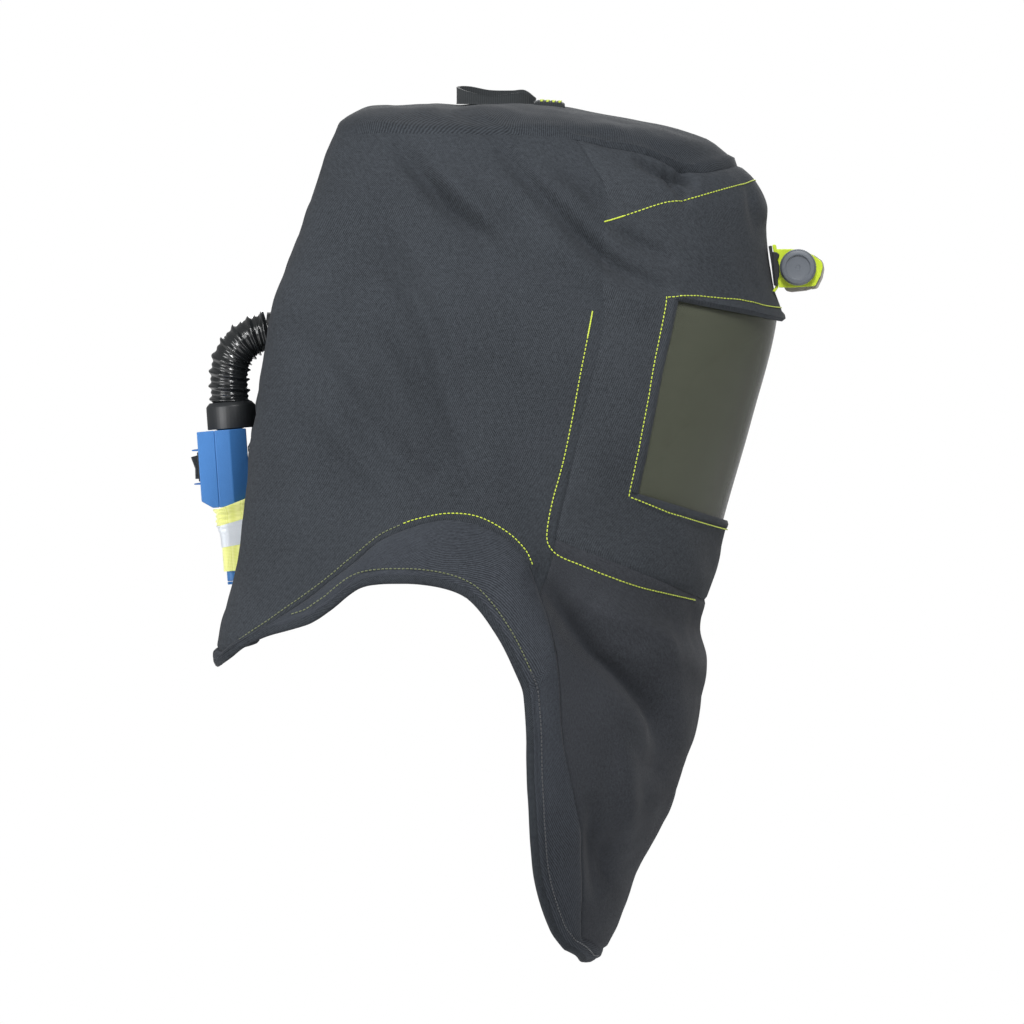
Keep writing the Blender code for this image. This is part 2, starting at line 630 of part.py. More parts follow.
def make_inlet(back_panel):
    """A flanged bush clamps the back panel against a ring nut, and a flat duct leads up the cap."""
    inlet = empty("inlet_axis", INLET, INLET_LEAN)
    hole = turned("inlet_hole", [(0.0142, -0.02), (0.0142, 0.02)], "Y", (0, 0, 0), "twill", inlet)
    cut(back_panel, hole)
    outside = ((-0.0110, 0.0132, INLET_LEAN), (0.0010, 0.0132, INLET_LEAN), (0.0010, 0.0205, INLET_LEAN),
               (0.0034, 0.0205, INLET_LEAN), (0.0034, 0.0180, INLET_LEAN), (0.0132, 0.0160, SPIGOT_LEAN),
               (SPIGOT_LENGTH, 0.0160, SPIGOT_LEAN))
    inside = ((-0.0110, 0.0112, INLET_LEAN), (-0.0060, 0.0112, INLET_LEAN), (-0.0020, 0.0112, INLET_LEAN),
              (0.0010, 0.0112, INLET_LEAN), (0.0034, 0.0112, INLET_LEAN), (0.0132, 0.0122, SPIGOT_LEAN),
              (SPIGOT_LENGTH, 0.0122, SPIGOT_LEAN))
    grids = [[inlet_ring(*row) for row in rows] for rows in (outside, inside)]
    grid_solid("hood_inlet", *grids, "black_plastic", round_trip=True)
    nut = [(0.0141, -0.0040), (0.0141, -0.0075), (0.0200, -0.0075), (0.0200, -0.0040)]
    turned("inlet_nut", nut, "Y", (0, 0, 0), "black_plastic", inlet, sides=16, ring=True)
    centres = ((0.1482, -0.1259), (0.1405, -0.1205), (0.1335, -0.1050), (0.1285, -0.0850),
               (0.1275, -0.0600), (0.1270, -0.0330))
    halves = ((0.0130, 0.0130), (0.0155, 0.0100), (0.0190, 0.0070), (0.0210, 0.0055), (0.0220, 0.0050),
              (0.0230, 0.0045))
    leans = (97, 62, 30, 5, 0, 0)
    grids = []
    for wall in (0.0, 0.0012):
        rows = []
        for (y, z), (wide, thick), lean in zip(centres, halves, leans):
            tilt = math.radians(lean)
            row = []
            for j in range(16):
                a = math.tau * j / 16
                across, out = (wide - wall) * math.cos(a), (thick - wall) * math.sin(a)
                row.append((across, y + out * math.cos(tilt), z + out * math.sin(tilt)))
            rows.append(row)
        grids.append(rows)
    grid_solid("air_duct", *grids, "black_plastic", round_trip=True)


def housing_shell(name, front, rear, open_side, blower):
    """One half of the blower's housing: a faceted box, hollow from its open side."""
    w = HOUSING_HALF_WIDTH
    bottom = -HOUSING_HEIGHT
    outer = box(name, (-w, front, bottom), (w, rear, 0), "blue_plastic", blower, bevel=0.0012)
    inset = {"rear": (front + WALL, rear + 0.01), "front": (front - 0.01, rear - WALL)}[open_side]
    hollow = box(name + "_hollow", (-w + WALL, inset[0], bottom + WALL), (w - WALL, inset[1], -WALL),
                 "blue_plastic", blower)
    cut(outer, hollow)
    return outer


def make_blower_housing(blower):
    front = housing_shell("housing_front", HOUSING_FRONT, HOUSING_PARTING - GAP, "rear", blower)
    rear = housing_shell("housing_rear", HOUSING_PARTING, HOUSING_REAR, "front", blower)
    chamfer = prism("chamfer", ((0.0152, -0.0579), (0.0235, -0.0527), (0.03, -0.0527), (0.03, -0.07),
                                (0.0152, -0.07)), -0.04, 0.04, "blue_plastic", blower)
    cut(rear, chamfer)
    opening = box("switch_opening", (-0.0078, 0.015, ROCKER_Z - 0.0113), (0.0078, 0.03, ROCKER_Z + 0.0113),
                  "blue_plastic", blower)
    cut(rear, opening)
    for name, z in (("fin_upper", -0.0137), ("fin_lower", -0.0390)):
        fin = box(name, (-0.0115, 0.0220, z - 0.0006), (0.0115, 0.0282, z + 0.0006), "blue_plastic", blower)
        join(rear, fin)
    outlet = turned("outlet_hole", [(0.0097, -0.01), (0.0097, 0.01)], "Z", (0, -0.0015, 0),
                    "blue_plastic", blower)
    cut(front, outlet)
    throat = box("throat", (-0.018, -0.010, -0.07), (0.018, 0.006, -0.05), "blue_plastic", blower)
    cut(front, throat)
    spigot = [(0.0093, -0.0035), (0.0093, GAP), (0.0106, GAP), (0.0106, 0.0120), (0.0080, 0.0120),
              (0.0080, -0.0035)]
    turned("outlet_spigot", spigot, "Z", (0, -0.0015, 0), "black_plastic", blower, ring=True)
    cuff = [(0.0185, 0.0008), (0.0185, 0.0185), (0.0165, 0.0206), (0.0128, 0.0206), (0.0128, 0.0008)]
    turned("hose_cuff", cuff, "Z", (0, -0.0033, 0), "rubber", blower, ring=True, sides=28)


def make_cartridge(blower):
    """The narrow lower part holds the filter behind a slotted end, inside a reflective sleeve."""
    top = -HOUSING_HEIGHT - GAP
    w, front, rear = CARTRIDGE_HALF_WIDTH, HOUSING_FRONT + 0.001, CARTRIDGE_REAR

    def tube(name, half, low, high, wall, ends, material):
        outer = round_rectangle(half, low, high, 0.004)
        inner = round_rectangle(half - wall, low + wall, high - wall, 0.004 - wall / 2)
        return band_ring(name, outer, inner, *ends, (0, 1), material, blower)

    tube("filter_case", w, front, rear, 0.0016, (CARTRIDGE_BOTTOM, top), "blue_plastic")
    tube("hivis_sleeve", w + 0.0022, front - 0.0020, rear + 0.0020, 0.0014, (-0.1062, top - 0.0006),
         "hivis")
    cell = [w - 0.0030, front + 0.0030, rear - 0.0030]
    box("particle_filter", (-cell[0], cell[1], -0.108), (cell[0], cell[2], -0.074), "white_plastic",
        blower, bevel=0.001)
    grille = box("intake_grille", (-w, front, CARTRIDGE_BOTTOM - 0.0025),
                 (w, rear, CARTRIDGE_BOTTOM - GAP), "blue_plastic", blower)
    for i in range(6):
        x = (i - 2.5) * 0.0076
        cut(grille, box(f"slot_{i}", (x - 0.0014, front + 0.004, CARTRIDGE_BOTTOM - 0.01),
                        (x + 0.0014, rear - 0.004, CARTRIDGE_BOTTOM + 0.01), "blue_plastic", blower))


def make_fan(blower):
    """Motor, impeller, cells and board inside the housing."""
    motor = [(0.0080, -0.0400), (0.0080, -0.0165), (0.0030, -0.0165), (0.0030, -0.0150), (0.0010, -0.0150),
             (0.0010, -0.0075)]
    turned("fan_motor", motor, "Z", (0, FAN_Y, 0), "steel", blower, sides=16)
    fan = empty("fan_axis", (0, FAN_Y, 0))
    fan.parent = blower
    hub = [(0.0040, -0.0130), (0.0118, -0.0130), (0.0118, -0.0118), (0.0040, -0.0105), (0.0034, -0.0065),
           (0.0013, -0.0065), (0.0013, -0.0130)]
    wheel = turned("impeller", hub, "Z", (0, 0, 0), "white_plastic", fan, sides=24, ring=True)
    for i in range(7):
        blade = box(f"blade_{i}", (0.0036, -0.0004, -0.0122), (0.0114, 0.0004, -0.0072), "white_plastic",
                    fan)
        blade.rotation_euler = (0, 0, math.tau * i / 7)
        join(wheel, blade)
    for side, sign in (("right", -1), ("left", 1)):
        turned(f"battery_cell_{side}", [(0.00525, -0.0495), (0.00525, -0.0050)], "Z",
               (sign * 0.0233, 0.0040, 0), "steel", blower, sides=14)
    box("control_board", (-0.0165, 0.0125, -0.0530), (0.0165, 0.0140, -0.0400), "green_board", blower)


def make_switch(blower):
    """A rocker switch in its frame, between two guard fins on the housing's rear face."""
    outer = [(x, z + ROCKER_Z) for x, z in ((0.0075, 0.0110), (-0.0075, 0.0110), (-0.0075, -0.0110),
                                            (0.0075, -0.0110))]
    inner = [(x, z + ROCKER_Z) for x, z in ((0.0062, 0.0097), (-0.0062, 0.0097), (-0.0062, -0.0097),
                                            (0.0062, -0.0097))]
    band_ring("switch_frame", outer, inner, 0.0130, 0.0245, (0, 2), "black_plastic", blower)
    axis = empty("rocker_axis", (0, 0.0205, ROCKER_Z))
    axis.parent = blower
    face = ((-0.0040, -0.0060), (0.0022, -0.0090), (0.0066, -0.0088), (0.0062, -0.0010),
            (0.0088, 0.0078), (0.0030, 0.0090), (-0.0040, 0.0060))
    prism("rocker_switch", face, -0.0056, 0.0056, "black_plastic", axis)


def make_clip(blower):
    """A sprung belt clip on the blower's front, pushed down through a loop on the back panel."""
    hinge = empty("clip_axis", (0, HOUSING_FRONT - 0.0022, -0.0150))
    hinge.parent = blower
    face = CLIP_FACE - (HOUSING_FRONT - 0.0022)
    tongue = ((0.0019, 0.0010), (0.0002, 0.0040), (face, 0.0040), (face, -0.0330), (face + 0.0014, -0.0372),
              (face + 0.0024, -0.0372), (face + 0.0016, -0.0330), (face + 0.0016, -0.0026), (0.0019, -0.0026))
    clip = prism("belt_clip", tongue, -0.0090, 0.0090, "black_plastic", hinge)
    bore = turned("clip_bore", [(0.0012, -0.02), (0.0012, 0.02)], "X", (0, 0, 0), "black_plastic", hinge,
                  sides=12)
    cut(clip, bore)
    turned("clip_pin", [(0.0009, -0.0110), (0.0009, 0.0110)], "X", (0, HOUSING_FRONT - 0.0022, -0.0150),
           "steel", blower, sides=12)
    outer = round_rectangle(0.0140, -0.0254, -0.0139, 0.0015, 2)
    inner = round_rectangle(0.0128, -0.0242, -0.0151, 0.0008, 2)
    band_ring("clip_loop", outer, inner, -0.0400, -0.0240, (0, 1), "webbing", blower)


def make_blower():
    blower = empty("blower_axis", BLOWER_TOP, BLOWER_LEAN)
    make_blower_housing(blower)
    make_cartridge(blower)
    make_fan(blower)
    make_switch(blower)
    make_clip(blower)


def main():
    clear_scene()
    back_panel = make_hood()
    make_loop()
    make_window()
    make_cap()
    make_suspension()
    make_lamp()
    make_hose()
    make_inlet(back_panel)
    make_blower()


main()
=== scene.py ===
"""The looks of a powered air respirator hood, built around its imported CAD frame.

Metres, +Z up, the hood's front at -Y and the wearer's right at -X, as in the frame. The cloth panels
share one loft, so that their seams meet; a place on the loft is a bearing in degrees round the hood
from the front, positive on the right, and a girth down from the middle of the crown.
"""

import math

import bmesh
import bpy
import numpy as np
from mathutils import Matrix, Vector, noise


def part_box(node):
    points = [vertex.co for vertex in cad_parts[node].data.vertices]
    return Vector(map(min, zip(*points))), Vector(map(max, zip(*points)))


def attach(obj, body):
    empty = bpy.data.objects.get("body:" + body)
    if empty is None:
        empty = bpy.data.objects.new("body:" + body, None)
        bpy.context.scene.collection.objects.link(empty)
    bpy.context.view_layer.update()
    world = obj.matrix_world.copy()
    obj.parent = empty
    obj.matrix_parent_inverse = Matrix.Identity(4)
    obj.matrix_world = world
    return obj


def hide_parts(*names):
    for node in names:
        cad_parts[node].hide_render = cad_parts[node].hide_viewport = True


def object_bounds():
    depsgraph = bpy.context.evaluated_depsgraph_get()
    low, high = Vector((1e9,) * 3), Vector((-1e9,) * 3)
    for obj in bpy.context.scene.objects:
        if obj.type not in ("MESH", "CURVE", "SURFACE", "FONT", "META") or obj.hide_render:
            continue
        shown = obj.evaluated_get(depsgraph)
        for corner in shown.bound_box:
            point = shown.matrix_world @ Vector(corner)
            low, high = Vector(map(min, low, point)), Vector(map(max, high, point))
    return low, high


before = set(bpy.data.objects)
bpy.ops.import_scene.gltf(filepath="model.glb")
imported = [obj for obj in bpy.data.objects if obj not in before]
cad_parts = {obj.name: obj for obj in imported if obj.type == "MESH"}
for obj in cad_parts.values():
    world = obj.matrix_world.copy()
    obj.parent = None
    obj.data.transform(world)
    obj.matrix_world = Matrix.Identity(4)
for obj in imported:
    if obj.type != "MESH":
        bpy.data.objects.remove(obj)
CAD_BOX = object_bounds()

# The loft as (girth, metres): its height, its front and back outlines, its half width, and how far the
# middle of its back sinks in. From GIRTH_STRAIGHT down, a girth is Z_AT_NO_GIRTH less the height.
Z_AT_NO_GIRTH = 0.1635
GIRTH_STRAIGHT = 0.141
HEIGHT = ((0, 0.044), (0.055, 0.0425), (0.085, 0.04), (0.115, 0.0315), (0.141, 0.0225), (0.1655, -0.002),
          (0.2, -0.0365), (0.4, -0.2365), (0.6, -0.4365), (0.8, -0.6365))
FRONT = ((0, 0.016), (0.055, -0.04), (0.085, -0.066), (0.115, -0.109), (0.141, -0.147), (0.15, -0.166),
         (0.1655, -0.185), (0.177, -0.198), (0.195, -0.2075), (0.213, -0.2065), (0.23, -0.2078),
         (0.245, -0.2103), (0.258, -0.2125), (0.2805, -0.2185), (0.359, -0.199), (0.433, -0.178),
         (0.474, -0.169), (0.492, -0.162), (0.5145, -0.157), (0.537, -0.1625), (0.564, -0.159),
         (0.591, -0.154), (0.618, -0.1455), (0.645, -0.1365), (0.672, -0.122), (0.699, -0.1085),
         (0.726, -0.099), (0.744, -0.0905), (0.753, -0.086), (0.7635, -0.0735))
BACK = ((0, 0.016), (0.055, 0.07), (0.085, 0.092), (0.115, 0.11), (0.141, 0.1155), (0.159, 0.1235),
        (0.177, 0.129), (0.213, 0.1415), (0.249, 0.155), (0.267, 0.1625), (0.3005, 0.1675), (0.348, 0.175),
        (0.417, 0.184), (0.465, 0.1905), (0.492, 0.196), (0.512, 0.201), (0.537, 0.205), (0.6, 0.206),
        (0.7635, 0.206))
HALF_WIDTH = ((0, 0), (0.055, 0.042), (0.085, 0.064), (0.115, 0.088), (0.145, 0.105), (0.177, 0.122),
              (0.195, 0.127), (0.222, 0.132), (0.258, 0.137), (0.285, 0.14), (0.359, 0.147), (0.433, 0.155),
              (0.494, 0.166), (0.542, 0.172), (0.594, 0.17), (0.654, 0.158), (0.709, 0.138), (0.7635, 0.11))
RECESS = ((0.16, 0), (0.2035, 0), (0.2935, 0.006), (0.3635, 0.011), (0.4235, 0.018), (0.4835, 0.026),
          (0.7635, 0.026))
FRONT_POWER = 2 / 2.3  # superellipse powers of the front half and of the sides behind it
BACK_POWER = 2 / 2.5
BACK_SHARE = 0.58  # half width of the back panel over the hood's
BACK_SEAM = 135.0  # bearings in degrees, of the seams, the window's rear edge and the lens's end
FACE_SEAM = 75.0
WINDOW_EDGE = 55.0
LENS_REACH = 59.0
WINDOW_REAR = ((-0.1415, -0.1035), (-0.111, -0.2515))  # the opening's rear edge on the side, as (y, z)

# The crown seam as (y, z) on the side, from back to front, where it droops over the brow.
CROWN_SIDE = ((0.116, 0.021), (0.06, 0.021), (0.0, 0.0205), (-0.0525, 0.0175), (-0.0913, 0.0098),
              (-0.12, 0.0051), (-0.1462, -0.0049), (-0.158, -0.0075), (-0.173, -0.0052), (-0.185, -0.0025))
# The arm opening's hem and the seam of the band above it, as (y, z) on the side, from back to front.
HEM_SIDE = ((0.2045, -0.3745), (0.1865, -0.3605), (0.1675, -0.3515), (0.138, -0.343), (0.1235, -0.334),
            (0.0985, -0.3155), (0.0675, -0.312), (0.035, -0.3155), (0.013, -0.3255), (-0.0085, -0.353),
            (-0.0225, -0.3805), (-0.0295, -0.4), (-0.0325, -0.472), (-0.037, -0.535), (-0.049, -0.5745),
            (-0.0585, -0.588))
BAND_SIDE = ((0.197, -0.368), (0.18, -0.3575), (0.152, -0.338), (0.1335, -0.325), (0.118, -0.312),
             (0.103, -0.301), (0.082, -0.2835), (0.0555, -0.273), (0.0345, -0.2685), (0.0135, -0.271),
             (-0.0075, -0.28), (-0.022, -0.291), (-0.036, -0.3165), (-0.048, -0.359), (-0.052, -0.388),
             (-0.0555, -0.435), (-0.066, -0.488), (-0.0695, -0.5055), (-0.069, -0.55), (-0.069, -0.582))
# The same edges at the back and in front, as (bearing, height).
HEM_ENDS = (((180, -0.3525), (165, -0.354), (150, -0.36), (140, -0.3685)), ((20, -0.5966), (0, -0.5968)))
BAND_ENDS = (((180, -0.346), (165, -0.3475), (150, -0.354), (140, -0.3625)), ((14, -0.5895), (0, -0.59)))

CLOTH = 0.0028  # thickness
MESH_STEP = 0.0026  # spacing of the cloth's mesh
SEAM_DIP = 0.0013  # depth of a pressed seam, and half its width
SEAM_HALF = 0.0017
HEM_WIDTH = 0.008
THREAD = 0.00045  # radius
STITCH = 0.0031  # from one stitch to the next

SIDES = {1: "right", -1: "left"}

LENS = 0.002  # thickness
LENS_DEPTH = 0.0032  # how far its outer face lies behind the loft
PATCH_ENDS = (-0.033, -0.0562)  # rear and front end of the patch beside the hanging loop
PATCH_HALF = 0.0128
HOSE_ROUTE = ((0.1944, -0.1835), (0.1955, -0.17), (0.1955, -0.1585), (0.1931, -0.1468), (0.1861, -0.1367),
              (0.179, -0.1313), (0.172, -0.1283), (0.1655, -0.1262))
HOSE_ROOT = 0.0132  # radius between the ribs
HOSE_RIB = 0.0025  # height of the ribs
HOSE_PITCH = 0.0092
INLET = (0, 0.1606, -0.1245)
INLET_LEAN = math.radians(7.4)
BLOWER_TOP = (0, 0.1965, -0.2007)
BLOWER_LEAN = math.radians(-4.1)
LAMP_AXIS = (0, -0.231, -0.079)
LAMP_HALF_WIDTH = 0.029

FOLD_SCALE = 2.8
# Folds of the cloth on each side: depth before FOLD_SCALE deepens it (negative is a valley), half width,
# and (y, z) points.
FOLDS = (
    (-0.0042, 0.0075, ((0.0677, 0.0113), (0.0315, -0.031), (0.0014, -0.057))),
    (-0.0036, 0.0065, ((-0.0107, 0.0072), (-0.049, -0.035), (-0.0913, -0.0754), (-0.1306, -0.0956))),
    (-0.002, 0.008, ((-0.0525, -0.003), (-0.069, -0.016), (-0.087, -0.0367))),
    (-0.002, 0.005, ((-0.095, -0.0496), (-0.117, -0.0625), (-0.135, -0.0728))),
    (-0.003, 0.011, ((0.0918, -0.029), (0.0797, -0.059), (0.0617, -0.091), (0.0435, -0.1295),
                     (0.0295, -0.18), (0.0114, -0.24))),
    (-0.003, 0.011, ((0.142, -0.1295), (0.108, -0.1757), (0.0797, -0.212), (0.0516, -0.236))),
    (-0.0024, 0.012, ((0.15, -0.19), (0.11, -0.235), (0.08, -0.262))),
    (0.003, 0.012, ((0.098, -0.115), (0.07, -0.165), (0.05, -0.22))),
    (0.0026, 0.011, ((0.04, -0.005), (0.005, -0.04), (-0.03, -0.072))),
    (0.0022, 0.01, ((-0.03, -0.045), (-0.07, -0.08), (-0.11, -0.11))),
    (-0.0034, 0.0042, ((-0.112, 0.001), (-0.13, -0.006), (-0.15, -0.011))),
    (-0.0036, 0.0034, ((-0.135, -0.005), (-0.1385, -0.018))),
    (-0.0034, 0.0034, ((-0.143, -0.005), (-0.151, -0.017))),
    (-0.0024, 0.003, ((-0.1416, -0.015), (-0.1455, -0.029))),
    (-0.0018, 0.0045, ((-0.1946, -0.016), (-0.201, -0.0548))),
    (-0.0065, 0.011, ((-0.0385, -0.3133), (-0.0683, -0.35), (-0.096, -0.3777), (-0.1213, -0.403),
                      (-0.133, -0.428), (-0.1305, -0.4535))),
    (0.004, 0.014, ((-0.075, -0.33), (-0.115, -0.355), (-0.15, -0.373))),
    (-0.0022, 0.006, ((-0.0776, -0.4835), (-0.08, -0.548))),
    (-0.0022, 0.005, ((-0.0868, -0.51), (-0.089, -0.541))),
    (0.0025, 0.009, ((-0.1, -0.44), (-0.104, -0.51))),
)


def curve(pairs, at):
    """Values at `at` of a smooth curve through (position, value) pairs in rising order."""
    places, values = np.array(pairs, float).T
    steps = np.arange(len(places))
    low, high = np.maximum(steps - 1, 0), np.minimum(steps + 1, len(places) - 1)
    slopes = (values[high] - values[low]) / (places[high] - places[low])
    i = np.clip(np.searchsorted(places, at, side="right") - 1, 0, len(places) - 2)
    width = places[i + 1] - places[i]
    t = np.clip((at - places[i]) / width, 0, 1)
    rise = values[i + 1] - values[i]
    start, end = slopes[i] * width, slopes[i + 1] * width
    return values[i] + t * (start + t * (3 * rise - 2 * start - end + t * (start + end - 2 * rise)))


def lengths(points):
    """Distance from the first of a row of points to each of them."""
    steps = np.linalg.norm(np.diff(points, axis=0), axis=-1)
    return np.concatenate([np.zeros((1,) + steps.shape[1:]), np.cumsum(steps, axis=0)])


def along(run, rows, places):
    """Rows of values, such as points, read at distances along them."""
    return np.stack([np.interp(places, run, column) for column in rows.T], -1)


def unit(vectors):
    return vectors / np.linalg.norm(vectors, axis=-1, keepdims=True)


def smooth_line(points, count):
    """A smooth curve through a few points, as `count` points evenly spread over it."""
    points = np.array(points, float)
    run = lengths(points)
    at = np.linspace(0, run[-1], count)
    return np.stack([curve(list(zip(run, column)), at) for column in points.T], -1)


def hood_point(bearing, girth):
    """Points on the outside of the plain loft."""
    z = curve(HEIGHT, girth)
    front, back, wide = (curve(table, girth) for table in (FRONT, BACK, HALF_WIDTH))
    turn = np.abs((bearing + 180) % 360 - 180)
    side = np.where(bearing % 360 < 180, -1, 1)
    middle, half = (front + back) / 2, (back - front) / 2
    angle = np.radians(np.minimum(turn, 90))
    x_front = wide * np.sin(angle) ** FRONT_POWER
    y_front = middle - half * np.maximum(np.cos(angle), 0) ** FRONT_POWER
    angle = np.radians(np.clip((turn - 90) / (BACK_SEAM - 90), 0, 1) * 90)
    edge = BACK_SHARE * wide
    x_side = edge + (wide - edge) * np.maximum(np.cos(angle), 0) ** BACK_POWER
    y_side = middle + half * np.sin(angle) ** BACK_POWER
    inward = np.clip((turn - BACK_SEAM) / (180 - BACK_SEAM), 0, 1)
    part = np.minimum(1, inward / 0.55)
    y_back = back - curve(RECESS, girth) * part * part * (3 - 2 * part)
    zones = [turn <= 90, turn <= BACK_SEAM]
    x = np.select(zones, [x_front, x_side], edge * (1 - inward))
    y = np.select(zones, [y_front, y_side], y_back)
    return np.stack([side * x, y, z], -1)


def on_loft(places):
    """Points and outward unit normals of the plain loft at (bearing, girth) places."""
    bearing, girth = places[..., 0], places[..., 1]
    points = hood_point(bearing, girth)
    across = hood_point(bearing + 0.5, girth) - hood_point(bearing - 0.5, girth)
    down = hood_point(bearing, girth + 0.002) - hood_point(bearing, np.maximum(girth - 0.002, 0))
    normal = np.cross(across, down)
    normal /= np.maximum(np.linalg.norm(normal, axis=-1, keepdims=True), 1e-12)
    outward = points - np.array([0, 0.01, 0])
    outward[..., 2] = np.where(girth < GIRTH_STRAIGHT, 0.1, 0)
    return points, np.where(np.sum(normal * outward, -1, keepdims=True) < 0, -normal, normal)


def side_place(y, z, side=1):
    """The (bearing, girth) of points of the side seen at (y, z); side is 1 on the right, -1 on the left."""
    y, z = np.asarray(y, float), np.asarray(z, float)
    girth = Z_AT_NO_GIRTH - z
    front, back = curve(FRONT, girth), curve(BACK, girth)
    share = np.clip((y - (front + back) / 2) / ((back - front) / 2), -1, 1)
    ahead = np.degrees(np.arccos(np.maximum(-share, 0) ** (1 / FRONT_POWER)))
    behind = 90 + (BACK_SEAM - 90) / 90 * np.degrees(np.arcsin(np.maximum(share, 0) ** (1 / BACK_POWER)))
    return np.stack([side * np.where(share < 0, ahead, behind), girth], -1)


def edge_line(side_points, ends, side):
    """(bearing, girth) along an edge, from the middle of the back round one side to the front."""
    back_points, front_points = ends
    places = side_place(*smooth_line(side_points, 240).T)
    back = [(bearing, Z_AT_NO_GIRTH - height) for bearing, height in back_points]
    front = [(bearing, Z_AT_NO_GIRTH - height) for bearing, height in front_points]
    line = np.array([*back, *places, *front])
    return line * (side, 1)


def between(line, first, last):
    """The part of a (bearing, girth) line between two bearings, in the order they are given."""
    order = np.argsort(line[:, 0])
    low, high = min(first, last), max(first, last)
    inside = [row for row in line[order] if low < row[0] < high]
    ends = [(b, np.interp(b, line[order, 0], line[order, 1])) for b in (low, high)]
    made = np.array([ends[0], *inside, ends[1]])
    return made if first < last else made[::-1]


def even(line, count):
    """A (bearing, girth) line at `count` places evenly spread over the hood."""
    run = lengths(hood_point(line[:, 0], line[:, 1]))
    return along(run, line, np.linspace(0, run[-1], count))


def ring_line(seam, first, last):
    """(bearing, girth) along one of the level seams between two bearings."""
    bearings = np.linspace(first, last, 200)
    return np.stack([bearings, seam(bearings)], -1)


def crown_seam(bearing):
    turn = np.abs((bearing + 180) % 360 - 180)
    known = side_place(*smooth_line(CROWN_SIDE, 80).T)
    return np.interp(turn, known[::-1, 0], known[::-1, 1])


def level_seam(front_height, rise):
    """A seam that rises towards the back, as the window's edges and the chin seam do."""
    def girth(bearing):
        face = np.radians(np.minimum(np.abs(bearing), FACE_SEAM))
        return Z_AT_NO_GIRTH - front_height - rise * 0.19 * (1 - np.cos(face) ** FRONT_POWER)
    return girth


WINDOW_TOP = level_seam(-0.1195, 0.21)
WINDOW_BOTTOM = level_seam(-0.269, 0.27)
CHIN_SEAM = level_seam(-0.3285, 0.347)
HEM = {side: edge_line(HEM_SIDE, HEM_ENDS, side) for side in (1, -1)}
BAND = {side: edge_line(BAND_SIDE, BAND_ENDS, side) for side in (1, -1)}


def distance_to(points, y, z):
    """Distance in the side view from each (y, z) to a line, and how far down it the nearest place is."""
    best = np.full(y.shape, 1e9)
    share = np.zeros(y.shape)
    run = lengths(points)
    for start, end, done in zip(points, points[1:], run):
        step = end - start
        t = np.clip(((y - start[0]) * step[0] + (z - start[1]) * step[1]) / (step @ step), 0, 1)
        away = np.hypot(y - start[0] - t * step[0], z - start[1] - t * step[1])
        nearer = away < best
        best = np.where(nearer, away, best)
        share = np.where(nearer, (done + t * np.linalg.norm(step)) / run[-1], share)
    return best, share


def soft_noise(points, size, seed):
    """Smooth noise of about -1 to 1; size is the length of its waves along x, y and z."""
    flat = (points / np.array(size) + seed).reshape(-1, 3)
    return np.array([noise.noise(p) for p in flat]).reshape(points.shape[:-1])


def cloth_rise(points, normals):
    """How far the cloth stands out from the plain loft: its folds and soft waves."""
    y, z = points[..., 1], points[..., 2]
    left = points[..., 0] > 0
    sideways = np.clip((np.abs(normals[..., 0]) - 0.15) / 0.4, 0, 1)
    rise = np.zeros(y.shape)
    for depth, half_width, line in FOLDS:
        line = smooth_line(line, 12)
        # The left side has the same folds a little further back and lower, as no hood is symmetric.
        away, share = distance_to(line, y - 0.008 * left, z + 0.006 * left)
        fade = np.sin(np.pi * np.clip(0.08 + 0.84 * share, 0, 1)) ** 0.7
        rise += FOLD_SCALE * depth * np.exp(-(away / half_width) ** 2) * fade * np.where(left, 0.8, 1)
    slanted = np.stack([points[..., 0], y * 0.8 - z * 0.6, y * 0.6 + z * 0.8], -1)
    waves = 0.002 * soft_noise(slanted, (0.05, 0.028, 0.13), 3.7)
    waves += 0.0007 * soft_noise(slanted, (0.02, 0.012, 0.05), 9.1)
    middle_back = np.clip((y - 0.1) / 0.03, 0, 1) * (np.abs(points[..., 0]) < 0.07)
    return rise * sideways + waves * (1 - 0.8 * middle_back)


def on_cloth(places, lift=0.0):
    """Points and normals of the finished cloth at (bearing, girth) places."""
    base, normals = on_loft(places)
    return base + normals * (cloth_rise(base, normals) + lift)[..., None], normals


def mesh_object(name, points, faces, finish, uv=None, sharp=None):
    """An object from arrays of points and faces, smooth all over or up to a sharp angle."""
    mesh = bpy.data.meshes.new(name)
    mesh.from_pydata([tuple(p) for p in points], [], [tuple(f) for f in faces])
    mesh.materials.append(MATERIALS[finish])
    if uv is not None:
        layer = mesh.uv_layers.new(name="cloth")
        corners = np.empty(len(mesh.loops), np.int32)
        mesh.loops.foreach_get("vertex_index", corners)
        layer.data.foreach_set("uv", np.asarray(uv, np.float32)[corners].ravel())
    mesh.shade_smooth()
    if sharp is not None:
        mesh.set_sharp_from_angle(angle=math.radians(sharp))
    mesh.update()
    made = bpy.data.objects.new(name, mesh)
    bpy.context.scene.collection.objects.link(made)
    return made


def sheet_faces(rows, columns, wrap=False):
    """Quads of a grid of rows and columns of points."""
    ids = np.arange(rows * columns).reshape(rows, columns)
    if wrap:
        ids = np.concatenate([ids, ids[:, :1]], 1)
    return np.stack([ids[:-1, :-1], ids[:-1, 1:], ids[1:, 1:], ids[1:, :-1]], -1).reshape(-1, 4)


def rim_of(rows, columns, wrap=False):
    """Point numbers round the open edge of a grid: a loop, or the top and bottom rings of a wrapped one."""
    ids = np.arange(rows * columns).reshape(rows, columns)
    if wrap:
        return [np.append(ids[0], ids[0, 0]), np.append(ids[-1], ids[-1, 0])[::-1]]
    loop = [*ids[0], *ids[1:, -1], *ids[-1, -2::-1], *ids[-2:0:-1, 0]]
    return [np.array(loop + loop[:1])]


